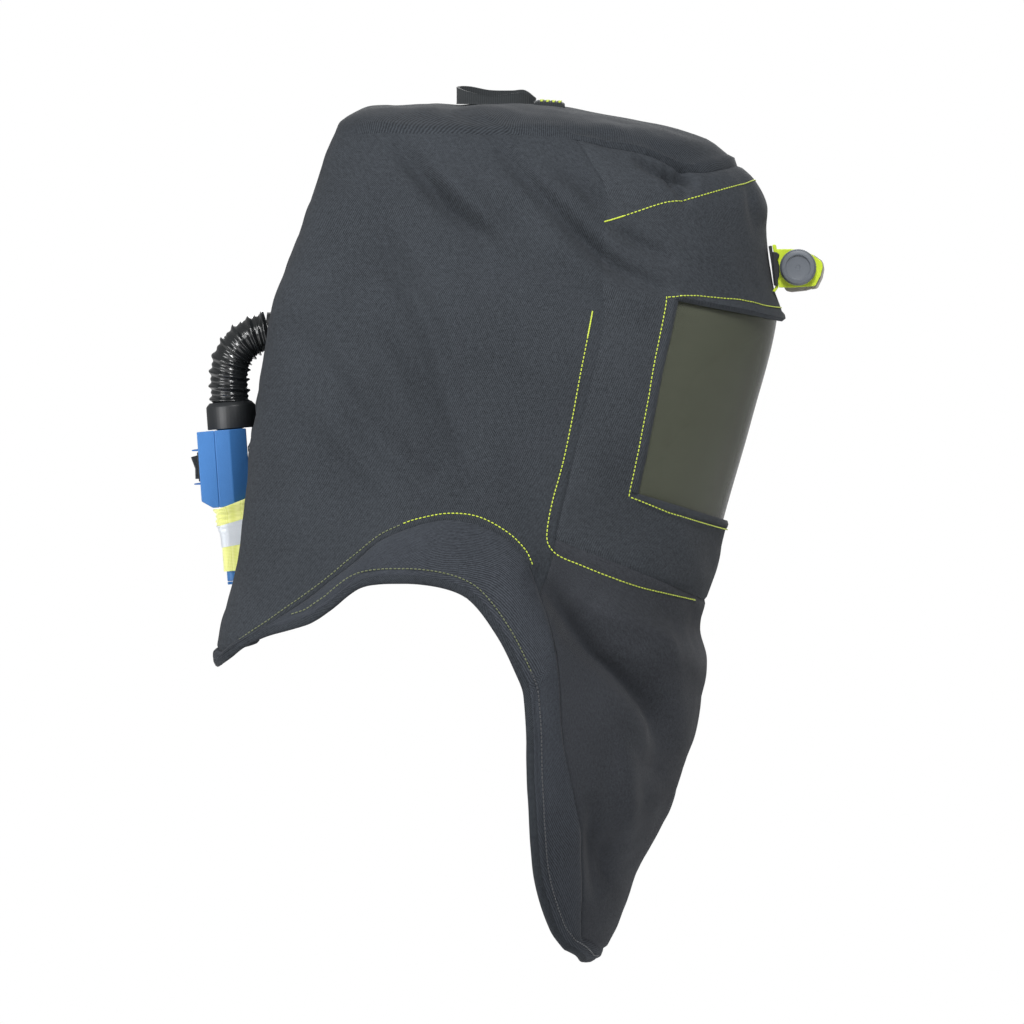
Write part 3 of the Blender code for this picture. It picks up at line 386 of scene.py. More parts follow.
def closed_sheet(name, outer, inner, finish, uv=None, wrap=False, sharp=50):
    """A closed sheet between two grids of points."""
    rows, columns = outer.shape[:2]
    count = rows * columns
    front = sheet_faces(rows, columns, wrap)
    faces = [front, front[:, ::-1] + count]
    for rim in rim_of(rows, columns, wrap):
        faces.append(np.stack([rim[1:], rim[:-1], rim[:-1] + count, rim[1:] + count], -1))
    points = np.concatenate([outer.reshape(-1, 3), inner.reshape(-1, 3)])
    quads = points[np.concatenate(faces)]
    volume = np.sum(np.cross(quads[:, 0], quads[:, 1]) * quads[:, 2]
                    + np.cross(quads[:, 0], quads[:, 2]) * quads[:, 3])
    if volume < 0:
        faces = [part[:, ::-1] for part in faces]
    both = None if uv is None else np.concatenate([uv.reshape(-1, 2)] * 2)
    return mesh_object(name, points, np.concatenate(faces), finish, both, sharp)


def seam_strength(points):
    """Seams are pressed deep below the window and over the brow, and hardly show on the upper sides."""
    y, z = points[..., 1], points[..., 2]
    low = np.clip((-0.19 - z) / 0.05, 0, 1) * np.where(y < -0.09, 1, 0.8)
    over_brow = np.clip((-0.055 - y) / 0.03, 0, 1) * np.clip((z + 0.024) / 0.01, 0, 1)
    return np.maximum(0.1, np.maximum(low, over_brow))


def seam_rise(away, points):
    """How much a pressed seam lowers the cloth."""
    return -SEAM_DIP * seam_strength(points) * np.exp(-(away / SEAM_HALF) ** 2)


def hem_rise(away):
    """How much a rolled and stitched hem lifts the cloth."""
    roll = np.clip(away / HEM_WIDTH, 0, 1)
    swell = 0.0011 * (1 - roll ** 6) - 0.0004 * np.exp(-((away - HEM_WIDTH * 0.86) / 0.001) ** 2)
    return swell - 0.0016 * np.clip(1 - away / 0.0016, 0, 1) ** 2


def cloth_faces(base, normals, rise):
    """The outer and the inner points of a cloth that stands out from the loft."""
    return [base + normals * out[..., None] for out in (rise, np.minimum(rise - CLOTH, -0.0012))]


def area_of(base):
    """The area of a grid of points."""
    quads = np.cross(np.diff(base, axis=1)[:-1], np.diff(base, axis=0)[:, :-1])
    return float(np.linalg.norm(quads, axis=-1).sum())


def cloth_panel(name, top, bottom, node, finish, borders, extra=None, lead=None):
    """One sewn panel, ruled between a top and a bottom line. borders are its top, bottom, first and
    last edges, each a seam, a hem or None. lead is a line for its first edge to follow."""
    spans = [lengths(hood_point(*line.T))[-1] for line in (top, bottom)]
    columns = round(max(spans) / MESH_STEP) + 1
    ends = [even(line, columns) for line in (top, bottom)]
    tall = np.linalg.norm(hood_point(*ends[0].T) - hood_point(*ends[1].T), axis=-1).max()
    rows = max(4, round(tall / MESH_STEP)) + 1
    share = np.linspace(0, 1, rows)[:, None, None]
    places = (1 - share) * ends[0] + share * ends[1]
    if lead is not None:
        start, last = places[:, :1, 0], places[:, -1:, 0]
        moved = np.interp(places[:, :1, 1], lead[:, 1], lead[:, 0])
        places[..., 0] = moved + (places[..., 0] - start) * (last - moved) / (last - start)
    base, normals = on_loft(places)
    down = lengths(base)
    across = lengths(base.transpose(1, 0, 2)).T
    rise = cloth_rise(base, normals)
    for kind, away in zip(borders, (down, down[-1:] - down, across, across[:, -1:] - across)):
        if kind:
            rise = rise + (seam_rise(away, base) if kind == "seam" else hem_rise(away))
    if extra:
        rise = rise + extra(places, down)
    made = closed_sheet(name, *cloth_faces(base, normals, rise), finish, np.stack([across, down], -1))
    flat = (float(across[:, -1].max()), float(down[-1].max()))
    return dress(made, "hood", "fabric", node), flat, min(area_of(base), flat[0] * flat[1])


def dress(made, body, slot, *nodes):
    """Put a piece on its body and hide the CAD nodes that it stands for. The finish it is given as slot is
    not used.
    """
    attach(made, body)
    if nodes:
        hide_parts(*nodes)
    return made


# ---------------------------------------------------------------- materials

def add(tree, kind, **settings):
    """A shader node; capitalised settings are its inputs, the others are its own attributes."""
    made = tree.nodes.new("ShaderNode" + kind)
    for key, value in settings.items():
        if key[0].isupper():
            made.inputs[key.replace("_", " ")].default_value = value
        else:
            setattr(made, key, value)
    return made


def linear(red, green, blue):
    """A linear colour from 0-255 display values."""
    return tuple((value / 255) ** 2.2 for value in (red, green, blue)) + (1.0,)


def shader_of(name, roughness, metallic=0.0, **sockets):
    """A new material, its node tree and its Principled shader."""
    made = bpy.data.materials.new(name)
    made.use_nodes = True
    shader = made.node_tree.nodes["Principled BSDF"]
    shader.inputs["Roughness"].default_value = roughness
    shader.inputs["Metallic"].default_value = metallic
    for key, value in sockets.items():
        shader.inputs[key.replace("_", " ")].default_value = value
    return made, made.node_tree, shader


def blend_colours(tree, amount, first, second, span=(0, 1)):
    """A colour between two, chosen by a node's output over a span of it."""
    ramp = add(tree, "ValToRGB")
    for element, place, colour in zip(ramp.color_ramp.elements, span, (first, second)):
        element.position = place
        element.color = colour
    tree.links.new(amount, ramp.inputs["Fac"])
    return ramp.outputs["Color"]


def times(colour, factor):
    """A colour made darker or lighter."""
    return tuple(min(1, c * factor) for c in colour[:3]) + (1,)


def math_of(tree, operation, first, second):
    made = add(tree, "Math", operation=operation)
    for socket, value in zip(made.inputs, (first, second)):
        if isinstance(value, (int, float)):
            socket.default_value = value
        else:
            tree.links.new(value, socket)
    return made.outputs[0]


def mix_of(tree, *parts):
    """The weighted sum of several outputs, each given with its weight."""
    total, *others = [math_of(tree, "MULTIPLY", output, weight) for output, weight in parts]
    for output in others:
        total = math_of(tree, "ADD", total, output)
    return total


def coordinates(tree, kind="Object"):
    return add(tree, "TexCoord").outputs[kind]


def texture(tree, kind, where, mapping, **settings):
    """A texture's factor at a place that is first turned or stretched."""
    moved = add(tree, "Mapping", **mapping)
    tree.links.new(where, moved.inputs["Vector"])
    made = add(tree, kind, **settings)
    tree.links.new(moved.outputs["Vector"], made.inputs["Vector"])
    return made.outputs["Fac"]


def noise_of(tree, where, scale, detail=2.0, roughness=0.5, stretch=(1, 1, 1)):
    return texture(tree, "TexNoise", where, {"Scale": stretch}, Scale=scale, Detail=detail,
                   Roughness=roughness)


def waves_of(tree, where, pitch, direction, distortion=0.0, turn=0.0):
    """Bands a pitch apart along X, Y or Z of a place given in metres."""
    return texture(tree, "TexWave", where, {"Rotation": (0, 0, turn)}, Scale=math.tau / 20 / pitch,
                   Distortion=distortion, bands_direction=direction)


def bump(tree, shader, height, distance):
    made = add(tree, "Bump", Distance=distance, Strength=1.0)
    tree.links.new(height, made.inputs["Height"])
    tree.links.new(made.outputs["Normal"], shader.inputs["Normal"])


def spread(tree, value, low, high):
    """A node's output from 0 to 1, moved to a range."""
    made = add(tree, "MapRange", To_Min=low, To_Max=high)
    tree.links.new(value, made.inputs["Value"])
    return made.outputs["Result"]


def paint(tree, shader, colour, roughness=None):
    """The outputs that give a shader its colour, and its roughness if that changes too."""
    tree.links.new(colour, shader.inputs["Base Color"])
    if roughness:
        tree.links.new(roughness, shader.inputs["Roughness"])


def twill(name, rgb, pitch=0.0013, turn=-0.55):
    """Woven aramid twill: slanted ribs, uneven yarn, light flecks and slow changes of shade."""
    made, tree, shader = shader_of(name, 0.9, Sheen_Weight=0.05, Sheen_Roughness=0.5,
                                   Specular_IOR_Level=0.08)
    where = coordinates(tree, "UV")
    ribs = waves_of(tree, where, pitch, "X", 2.0, turn)
    yarn = noise_of(tree, where, 820, 3, 0.65)
    flecks = noise_of(tree, where, 300)
    patches = noise_of(tree, coordinates(tree), 16, 3, 0.55)
    weave = mix_of(tree, (ribs, 0.26), (yarn, 0.48), (flecks, 0.26))
    shade = mix_of(tree, (weave, 0.86), (patches, 0.14))
    colour = linear(*rgb)
    paint(tree, shader, blend_colours(tree, shade, times(colour, 0.42), times(colour, 1.75), (0.3, 0.68)),
          spread(tree, weave, 0.8, 0.98))
    bump(tree, shader, weave, 0.00025)
    return made


def thread_finish(name, rgb):
    """Twisted sewing thread with a sheen, and painted light and shade in bands along its strands."""
    made, tree, shader = shader_of(name, 0.55, Sheen_Weight=0.3)
    strands = waves_of(tree, coordinates(tree), 0.0006, "DIAGONAL", 0.5)
    colour = linear(*rgb)
    paint(tree, shader, blend_colours(tree, strands, times(colour, 0.72), colour))
    bump(tree, shader, strands, 0.0001)
    return made


def webbing_finish(name, rgb):
    """Narrow webbing with ribs across it."""
    made, tree, shader = shader_of(name, 0.8, Sheen_Weight=0.25, Specular_IOR_Level=0.3)
    where = coordinates(tree)
    ribs = waves_of(tree, where, 0.0014, "Y", 0.8)
    mixed = mix_of(tree, (ribs, 0.6), (noise_of(tree, where, 900, 3), 0.4))
    colour = linear(*rgb)
    paint(tree, shader, blend_colours(tree, mixed, times(colour, 0.6), times(colour, 1.4)))
    bump(tree, shader, mixed, 0.0002)
    return made


def moulded(name, rgb, roughness, grain=0.00004, scale=1400, contrast=0.1, metallic=0.0, **sockets):
    """Moulded plastic: a fine spark-eroded grain, faint handling marks and slow changes of gloss."""
    made, tree, shader = shader_of(name, roughness, metallic, **sockets)
    where = coordinates(tree)
    fine = noise_of(tree, where, scale, 3, 0.6)
    marks = noise_of(tree, where, 45, 4, 0.6, (1, 1, 0.35))
    mixed = mix_of(tree, (fine, 0.6), (marks, 0.4))
    colour = linear(*rgb)
    paint(tree, shader, blend_colours(tree, mixed, times(colour, 1 - contrast), times(colour, 1 + contrast)),
          spread(tree, marks, roughness - 0.08, roughness + 0.1))
    bump(tree, shader, fine, grain)
    return made


def hivis_finish():
    """Knitted high-visibility band: fine upright ribs of fluorescent yarn, with a faint emission that paints
    a glow on it.
    """
    made, tree, shader = shader_of("hivis_knit", 0.8, Sheen_Weight=0.4, Emission_Color=(0.78, 0.85, 0.08, 1),
                                   Emission_Strength=0.12)
    where = coordinates(tree, "UV")
    ribs = waves_of(tree, where, 0.0016, "X", 0.5)
    loops = waves_of(tree, where, 0.0011, "Y", 0.5)
    mixed = math_of(tree, "MULTIPLY", math_of(tree, "ADD", ribs, loops), 0.5)
    paint(tree, shader, blend_colours(tree, mixed, linear(220, 224, 118), linear(248, 249, 176)))
    bump(tree, shader, mixed, 0.00022)
    return made


def reflective_finish():
    """Retroreflective tape: silver glass beads with a fine sparkle."""
    made, tree, shader = shader_of("silver_tape", 0.5, 0.15)
    where = coordinates(tree)
    beads = noise_of(tree, where, 2200, 2, 0.8)
    soft = noise_of(tree, where, 120, 3)
    mixed = mix_of(tree, (beads, 0.7), (soft, 0.3))
    paint(tree, shader, blend_colours(tree, mixed, linear(196, 204, 214), linear(244, 248, 252)),
          spread(tree, soft, 0.34, 0.52))
    bump(tree, shader, beads, 0.00006)
    return made


def lens_finish():
    """Green-grey tinted polycarbonate, hard coated, with faint wiping marks."""
    made, tree, shader = shader_of("tinted_lens", 0.12, Alpha=0.8, IOR=1.42, Coat_Weight=0.3)
    wiped = noise_of(tree, coordinates(tree), 30, 5, 0.6, (1, 1, 6))
    paint(tree, shader, blend_colours(tree, wiped, linear(79, 82, 70), linear(85, 88, 76)))
    tree.links.new(spread(tree, wiped, 0.02, 0.12), shader.inputs["Coat Roughness"])
    return made


def foam_finish():
    made, tree, shader = shader_of("brow_foam", 0.95, Sheen_Weight=0.3)
    cells = add(tree, "TexVoronoi", Scale=900)
    tree.links.new(coordinates(tree), cells.inputs["Vector"])
    depth = cells.outputs["Distance"]
    paint(tree, shader, blend_colours(tree, depth, linear(58, 61, 64), linear(98, 102, 106)))
    bump(tree, shader, depth, 0.0003)
    return made


def floor_finish():
    made, tree, shader = shader_of("floor", 0.8)
    shade = noise_of(tree, coordinates(tree), 3, 3)
    paint(tree, shader, blend_colours(tree, shade, (0.86, 0.86, 0.86, 1), (0.9, 0.9, 0.9, 1)))
    return made


# The panels share one twill; their tones differ a little as painted light and shade, darkest on the crown
# and lighter on the front, bib and back than on the sides.
TWILLS = {"side": (53, 56, 60), "front": (56, 59, 63), "crown": (51, 54, 58), "bib": (55, 57, 61),
          "back": (55, 58, 62)}
THREADS = {"lime": (206, 224, 62), "dark": (104, 112, 74), "grey": (66, 69, 73)}
MATERIALS = {
    **{name: twill(f"twill_{name}", rgb) for name, rgb in TWILLS.items()},
    "band": twill("twill_band", (56, 59, 64), 0.0018, 1.2),
    "binding": twill("twill_binding", (50, 53, 57), 0.0012, 0.8),
    **{f"{name}_thread": thread_finish(f"{name}_thread", rgb) for name, rgb in THREADS.items()},
    "webbing": webbing_finish("black_webbing", (50, 53, 55)),
    "cap_webbing": webbing_finish("cap_webbing", (70, 73, 76)),
    "lens": lens_finish(),
    "black": moulded("black_plastic", (40, 42, 44), 0.45, 0.00005),
    "cap": moulded("cap_plastic", (52, 55, 58), 0.38),
    "grey": moulded("grey_plastic", (100, 105, 112), 0.46, 0.00005),
    "light_grey": moulded("bezel_plastic", (150, 146, 142), 0.36),
    "lime": moulded("lime_plastic", (200, 222, 56), 0.38, 0.00003),
    "blue": moulded("blue_plastic", (64, 116, 178), 0.44, 0.00007, 1100, 0.16),
    "rubber": moulded("glossy_rubber", (34, 36, 37), 0.2, 0.00003, 500, 0.2, Coat_Weight=0.5,
                      Coat_Roughness=0.12),
    "cuff": moulded("cuff_rubber", (42, 44, 46), 0.42, 0.00006),
    "white": moulded("white_plastic", (226, 226, 222), 0.45),
    "filter": moulded("filter_paper", (232, 230, 222), 0.9, 0.0003, 600),
    "steel": moulded("steel", (190, 192, 196), 0.26, 0.00001, 300, 0.06, 1.0),
    "chrome": moulded("reflector", (232, 234, 238), 0.08, 0.0, 60, 0.02, 1.0),
    "clear": moulded("clear_plastic", (232, 236, 240), 0.1, 0.0, 60, 0.02, Transmission_Weight=0.95,
                     IOR=1.45),
    "board": moulded("circuit_board", (28, 92, 52), 0.5, 0.00008, 300, 0.3),
    "foam": foam_finish(),
    "hivis": hivis_finish(),
    "silver": reflective_finish(),
    "floor": floor_finish(),
}


# ---------------------------------------------------------------- sewing

def stitches(name, points, normals, ends=(0, 0), thread="lime"):
    """A row of thread stitches along points on the cloth. Near its ends they close up into bar tacks,
    over the lengths that ends gives."""
    run = lengths(points)
    rings = ((-0.5, 0.5), (-0.38, 1.0), (0.38, 1.0), (0.5, 0.5))
    around = [math.tau * k / 6 for k in range(6)]
    made, faces = [], []
    at = STITCH / 2
    while at < run[-1]:
        tack = at < ends[0] or at > run[-1] - ends[1]
        place, ahead, behind = along(run, points, [at, min(at + 0.001, run[-1]), max(at - 0.001, 0)])
        lie, up = unit(ahead - behind), along(run, normals, at)
        across = np.cross(up, lie)
        long, fat = (0.5 * STITCH, 1.25 * THREAD) if tack else (0.7 * STITCH, THREAD)
        first = len(made)
        for share, thick in rings:
            for a in around:
                out = thick * fat * (across * math.cos(a) + up * (math.sin(a) * 0.75 + 0.15))
                made.append(place + lie * share * long + out)
        faces += [*(sheet_faces(4, 6, True) + first), range(first + 5, first - 1, -1),
                  range(first + 18, first + 24)]
        at += STITCH * (0.42 if tack else 1)
    dress(mesh_object(name, made, faces, f"{thread}_thread"), "hood", "lime_plastic")


def make_binding(side, word):
    """The binding round an arm opening: a flat tube over the cloth's edge."""
    points, normals = on_cloth(even(between(HEM[side], 0, side * 180), 420), -0.001)
    across = np.cross(normals, unit(np.gradient(points, axis=0)))
    angle = np.linspace(0, math.tau, 13)[:-1, None]
    rings = (points[:, None] + across[:, None] * 0.0042 * np.cos(angle)
             + normals[:, None] * 0.0025 * np.sin(angle))
    rows, columns = rings.shape[:2]
    faces = [*sheet_faces(rows, columns, True), range(columns)[::-1],
             range((rows - 1) * columns, rows * columns)]
    uv = [(i * 0.002, run) for run in lengths(points) for i in range(columns)]
    made = mesh_object(f"arm_binding_{word}", rings.reshape(-1, 3), faces, "binding", uv)
    dress(made, "hood", "fabric")


# ---------------------------------------------------------------- the hood

def make_hood():
    """The sewn panels of the hood, each between its seams."""
    crown, top, bottom, chin = (ring_line(seam, -FACE_SEAM, FACE_SEAM)
                                for seam in (crown_seam, WINDOW_TOP, WINDOW_BOTTOM, CHIN_SEAM))
    front_low = np.concatenate([between(BAND[-1], -FACE_SEAM, 0), between(BAND[1], 0, FACE_SEAM)[1:]])
    rear_low = np.concatenate([between(BAND[1], BACK_SEAM, 180),
                               between(BAND[-1], -180, -BACK_SEAM)[1:] + (360, 0)])
    rear_top = ring_line(crown_seam, BACK_SEAM, 360 - BACK_SEAM)
    sewn = ("seam", "seam", "seam", "seam")
    made = [
        cloth_panel("brow_cloth", crown, top, "brow_panel", "front", ("seam", None, "seam", "seam"),
                    brow_hem),
        cloth_panel("chin_cloth", bottom, chin, "chin_panel", "front", (None, "seam", "seam", "seam"),
                    chin_hem),
        cloth_panel("bib_cloth", chin, front_low, "bib_panel", "bib", sewn),
        cloth_panel("back_cloth", rear_top, rear_low, "back_panel", "back", sewn),
    ]
    for side, word in SIDES.items():
        edge = side_place(*smooth_line(WINDOW_REAR, 60).T, side)
        made.append(cloth_panel(f"cheek_cloth_{word}", ring_line(WINDOW_TOP, edge[0, 0], side * FACE_SEAM),
                                ring_line(WINDOW_BOTTOM, edge[-1, 0], side * FACE_SEAM),
                                f"cheek_panel_{word}", "front", (None, None, "hem", "seam"), lead=edge))
        flank = sorted((side * FACE_SEAM, side * BACK_SEAM))
        made.append(cloth_panel(f"side_cloth_{word}", ring_line(crown_seam, *flank),
                                between(BAND[side], *flank), f"side_panel_{word}", "side", sewn))
        band, hem = (between(line[side], 0, side * 180) for line in (BAND, HEM))
        made.append(cloth_panel(f"band_cloth_{word}", band, hem, f"shoulder_band_{word}", "band",
                                ("seam", "hem", "seam", "seam"), band_pad))
    made.append(make_crown())


def over_window(places):
    return np.clip(WINDOW_EDGE + 1.5 - np.abs(places[..., 0]), 0, 1)


def brow_roll(places, away):
    """The brow's lower edge is rolled outwards over the window."""
    roll = 0.0018 * np.exp(-((away - 0.003) / 0.0032) ** 2)
    return over_window(places) * (roll + hem_rise(away))


def brow_hem(places, down):
    return brow_roll(places, down[-1:] - down)


def chin_hem(places, down):
    return over_window(places) * hem_rise(down)


def band_pad(places, down):
    """The shoulder band is two layers with a thin pad, so it stands out between its seams."""
    share = down / np.maximum(down[-1:], 1e-6)
    return 0.0022 * np.sin(np.pi * np.clip(share, 0, 1)) * np.clip(down[-1:] / 0.03, 0, 1)


def make_crown():
    """The crown panel, from a small disc in the middle down to its seam."""
    bearings = np.linspace(-180, 180, 281)[:-1]
    rows, around = 46, len(bearings)
    girths = np.linspace(0.02, 1, rows)[:, None] * crown_seam(bearings)
    base, normals = on_loft(np.stack([np.broadcast_to(bearings, girths.shape), girths], -1))
    down = lengths(base)
    from_seam = down[-1:] - down
    rise = cloth_rise(base, normals) + seam_rise(from_seam, base)
    rise += 0.0022 * np.exp(-((from_seam - 0.006) / 0.004) ** 2) * (base[..., 1] < -0.06)
    turn = np.radians(bearings)
    uv = np.stack([down * np.cos(turn), down * np.sin(turn)], -1).reshape(-1, 2)
    points = np.concatenate([grid.reshape(-1, 3) for grid in cloth_faces(base, normals, rise)])
    count = rows * around
    front = sheet_faces(rows, around, True)
    rim = rim_of(rows, around, True)[1]
    faces = [*front, *(front[:, ::-1] + count),
             *((b, a, a + count, b + count) for a, b in zip(rim, rim[1:])),
             range(around)[::-1], range(count, count + around)]
    made = mesh_object("crown_cloth", points, faces, "crown", np.concatenate([uv, uv]), 50)
    wide = float(2 * down[-1].max())
    return dress(made, "hood", "fabric", "crown_panel"), (wide, wide), area_of(base)


# Rows of stitches on each side of the hood: thread, lengths of the bar tacks, and (y, z) points.
SIDE_ROWS = {
    "window_stitch_rear": ("lime", (0, 0), ((-0.133, -0.1003), (-0.1185, -0.178), (-0.104, -0.2523))),
    "band_stitch_rear": ("dark", (0, 0), (
        (0.188, -0.3585), (0.152, -0.3335), (0.1335, -0.3205), (0.103, -0.2955), (0.082, -0.279),
        (0.066, -0.2715))),
    "band_stitch": ("lime", (0, 0), (
        (0.0655, -0.2712), (0.0555, -0.268), (0.032, -0.2635), (0.009, -0.266), (-0.013, -0.2775),
        (-0.0265, -0.2905), (-0.033, -0.303))),
    "face_stitch": ("lime", (0.02, 0.005), (
        (-0.077, -0.111), (-0.0675, -0.161), (-0.056, -0.22), (-0.0465, -0.256), (-0.043, -0.277),
        (-0.044, -0.2865), (-0.051, -0.2945), (-0.0675, -0.302), (-0.088, -0.3105), (-0.111, -0.3185),
        (-0.138, -0.325), (-0.153, -0.3283))),
}
BROW_ROW = ((-0.085, -0.045), (-0.1, -0.0405), (-0.131, -0.0305), (-0.146, -0.0285), (-0.173, -0.021),
            (-0.19, -0.0165), (-0.1972, -0.0142))
HEM_ROWS = (("rear", 78, 110, "dark"), ("front", 14, 78, "grey"))


def make_stitches():
    """Binding round the arm openings, and every visible row of topstitching."""
    for side, word in SIDES.items():
        make_binding(side, word)
        for name, (thread, ends, line) in SIDE_ROWS.items():
            places = side_place(*smooth_line(line, 160).T, side)
            stitches(f"{name}_{word}", *on_cloth(places, 0.0003), ends, thread)
        for name, first, last, thread in HEM_ROWS:
            points, normals = on_cloth(even(between(HEM[side], side * first, side * last), 300))
            inward = side * unit(np.cross(np.gradient(points, axis=0), normals))
            stitches(f"hem_stitch_{name}_{word}", points + inward * HEM_WIDTH * 0.86 + normals * 0.002,
                     normals, thread=thread)
    right = side_place(*smooth_line(BROW_ROW, 160).T)
    places = even(np.concatenate([right, right[::-1] * (-1, 1)]), 700)
    stitches("brow_stitch", *on_cloth(places, 0.0003), (0.016, 0.016))
    reach = WINDOW_EDGE + 3.3
    edge = ring_line(WINDOW_TOP, -reach, reach)
    above = np.interp(np.abs(edge[:, 0]), (0, 35, 50, reach), (0.01, 0.0095, 0.0062, 0.0012))
    places = edge - np.stack([0 * above, above], -1)
    stitches("window_stitch_top", *on_cloth(places, 0.0004 + brow_roll(edge, above)))
    bottom = ring_line(WINDOW_BOTTOM, -reach, reach)
    bottom[:, 1] += np.interp(np.abs(bottom[:, 0]), (0, 45, reach), (0.0065, 0.007, 0.004))
    places = even(bottom, 300)
    stitches("window_stitch_bottom", *on_cloth(places, 0.0004 + 0.0011 * over_window(places)))


# ---------------------------------------------------------------- window, loop and hose

def make_window():
    """The tinted window curves round the face, held behind the cloth's edges."""
    bearings = np.linspace(-LENS_REACH, LENS_REACH, 141)
    share = np.linspace(0, 1, 61)[:, None]
    girths = (1 - share) * (WINDOW_TOP(bearings) - 0.004) + share * (WINDOW_BOTTOM(bearings) + 0.005)
    base, normals = on_loft(np.stack([np.broadcast_to(bearings, girths.shape), girths], -1))
    grids = [base - normals * depth for depth in (LENS_DEPTH, LENS_DEPTH + LENS)]
    dress(closed_sheet("tinted_window", *grids, "lens"), "hood", "window", "face_lens")


def strap(name, path, thickness):
    """Webbing standing on its edge; path gives the x, y, bottom and top of its middle."""
    line = smooth_line(path, 110)
    ahead = unit(np.gradient(line[:, :2], axis=0))
    across = np.stack([-ahead[:, 1], ahead[:, 0], np.zeros(len(line))], -1)[None]
    share = np.linspace(0, 1, 10)[:, None]
    z = line[:, 2] + (line[:, 3] - line[:, 2]) * share
    middle = np.stack(np.broadcast_arrays(line[:, 0], line[:, 1], z), -1)
    # The woven edges are a little thicker than the middle.
    half = thickness / 2 * (1 + 0.25 * np.exp(-(np.minimum(share, 1 - share) / 0.07) ** 2))[..., None]
    return closed_sheet(name, middle + across * half, middle - across * half, "webbing")


def make_loop():
    """The hanging loop stands on its edge, and its ends are folded down and bar-tacked to the crown."""
    near = ((-0.0012, -0.029, 0.0425, 0.049), (-0.0048, -0.0245, 0.0425, 0.0515),
            (-0.0075, -0.017, 0.0428, 0.0513), (-0.0086, 0.0, 0.0432, 0.0497),
            (-0.008, 0.015, 0.0434, 0.0525), (-0.005, 0.022, 0.0434, 0.0548))
    far = ((0.0, 0.0242, 0.0436, 0.056), (0.0055, 0.0215, 0.044, 0.057), (0.008, 0.014, 0.044, 0.0566),
           (0.0086, 0.0, 0.044, 0.054), (0.008, -0.017, 0.0432, 0.0537), (0.006, -0.026, 0.043, 0.054),
           (0.0035, -0.0345, 0.043, 0.048))
    made = strap("webbing_loop", near + far, 0.0017)
    dress(made, "hood", "webbing", "hanging_loop")
    y = np.linspace(*PATCH_ENDS, 26)
    x = np.linspace(-PATCH_HALF, PATCH_HALF, 20)[:, None]
    seat = crown_under_patch(y)
    swell = 1 - 0.35 * np.abs(x / PATCH_HALF) ** 6 - 0.45 * np.abs((y + 0.0446) / 0.0116) ** 8
    top = seat + 0.0042 * swell + 0.0003 * np.sin(y * 4200)
    grids = [np.stack(np.broadcast_arrays(x, y, z), -1) for z in (top, seat - 0.0002)]
    dress(closed_sheet("loop_end", *grids, "webbing"), "hood", "webbing", "loop_patch")
    x = np.linspace(-0.0125, 0.0125, 30)
    for i, row_y in enumerate((-0.039, -0.0435, -0.048, -0.0525)):
        z = crown_under_patch(row_y) + 0.0043 - 0.0015 * np.abs(x / PATCH_HALF) ** 6
        points = np.stack([x, row_y + 0.0012 * np.sin(x * 2600), z], -1)
        stitches(f"loop_tack_{i}", points, np.tile([0.0, 0.0, 1.0], (30, 1)), (0.05, 0.05))


def crown_under_patch(y):
    """Height of the crown under the patch."""
    return np.interp(-y, np.negative(PATCH_ENDS), (0.0427, 0.0412))


def make_hose():
    """The hose: a sharp helical rib, with a lower one between its turns, and its cuff."""
    route = smooth_line([(0, y, z) for y, z in HOSE_ROUTE], 520)
    across = np.array([1.0, 0, 0])
    upward = np.cross(unit(np.gradient(route, axis=0)), across)
    angle = np.linspace(0, math.tau, 65)[:-1]
    phase = (lengths(route)[:, None] / HOSE_PITCH) * math.tau + angle
    rib = (0.5 + 0.5 * np.cos(phase)) ** 3
    low_rib = (0.5 - 0.5 * np.cos(phase)) ** 5
    radius = HOSE_ROOT + HOSE_RIB * rib + 0.36 * HOSE_RIB * low_rib
    spokes = np.cos(angle)[None, :, None] * across + np.sin(angle)[None, :, None] * upward[:, None]
    grids = [route[:, None] + (radius[..., None] - wall) * spokes for wall in (0, 0.0012)]
    dress(closed_sheet("corrugated_hose", *grids, "rubber", wrap=True, sharp=60), "hood", "rubber",
          "breathing_hose")
    bush = ((0.0095, -0.011), (0.0112, -0.011), (0.0112, 0.001), (0.02, 0.001), (0.0205, 0.0015),
            (0.0203, 0.003), (0.0196, 0.0034), (0.0116, 0.0036), (0.0112, 0.008), (0.0095, 0.008))
    dress(lathe("inlet_bush", bush, "black", in_inlet), "hood", "black_plastic", "hood_inlet")
    cuff = ((0.013, 0.0006), (0.018, 0.0006), (0.0185, 0.001), (0.0185, 0.017), (0.0181, 0.018),
            (0.016, 0.0202), (0.0155, 0.0206), (0.0132, 0.0206))
    made = lathe("hose_end_cuff", cuff, "cuff", lambda points: in_blower(points + (0, -0.0033, 0)),
                 flutes=(44, 0.00004, 0.0178))
    dress(made, "hood", "rubber", "hose_cuff")


def in_inlet(points):
    """Points about the inlet's own Z axis, which points out of the hood's back."""
    return leaning(points, INLET_LEAN - math.pi / 2, INLET)


def in_blower(points):
    """Points of the blower's own axes, which lean with it, put in the hood's."""
    return leaning(points, BLOWER_LEAN, BLOWER_TOP)


def in_lamp(points):
    return np.asarray(points, float) + LAMP_AXIS


def leaning(points, lean, origin):
    return np.asarray(points, float) @ np.array(Matrix.Rotation(lean, 3, "X")).T + origin


def lathe(name, profile, finish, place, flutes=(0, 0, 0), sides=176):
    """A ring turned from (radius, height) points about a local Z, put in place by a function. Flutes
    are a number, a depth and the least radius that has them."""
    number, depth, least = flutes
    angle = np.linspace(0, math.tau, sides + 1)[:-1]
    rows = []
    for radius, height in profile:
        worn = radius - (depth * (0.5 + 0.5 * np.cos(number * angle)) if radius >= least else 0)
        rows.append(np.stack([worn * np.cos(angle), worn * np.sin(angle), np.full(sides, height)], -1))
    faces = sheet_faces(len(rows) + 1, sides, True) % (len(rows) * sides)
    return mesh_object(name, place(np.concatenate(rows)), faces, finish, sharp=35)


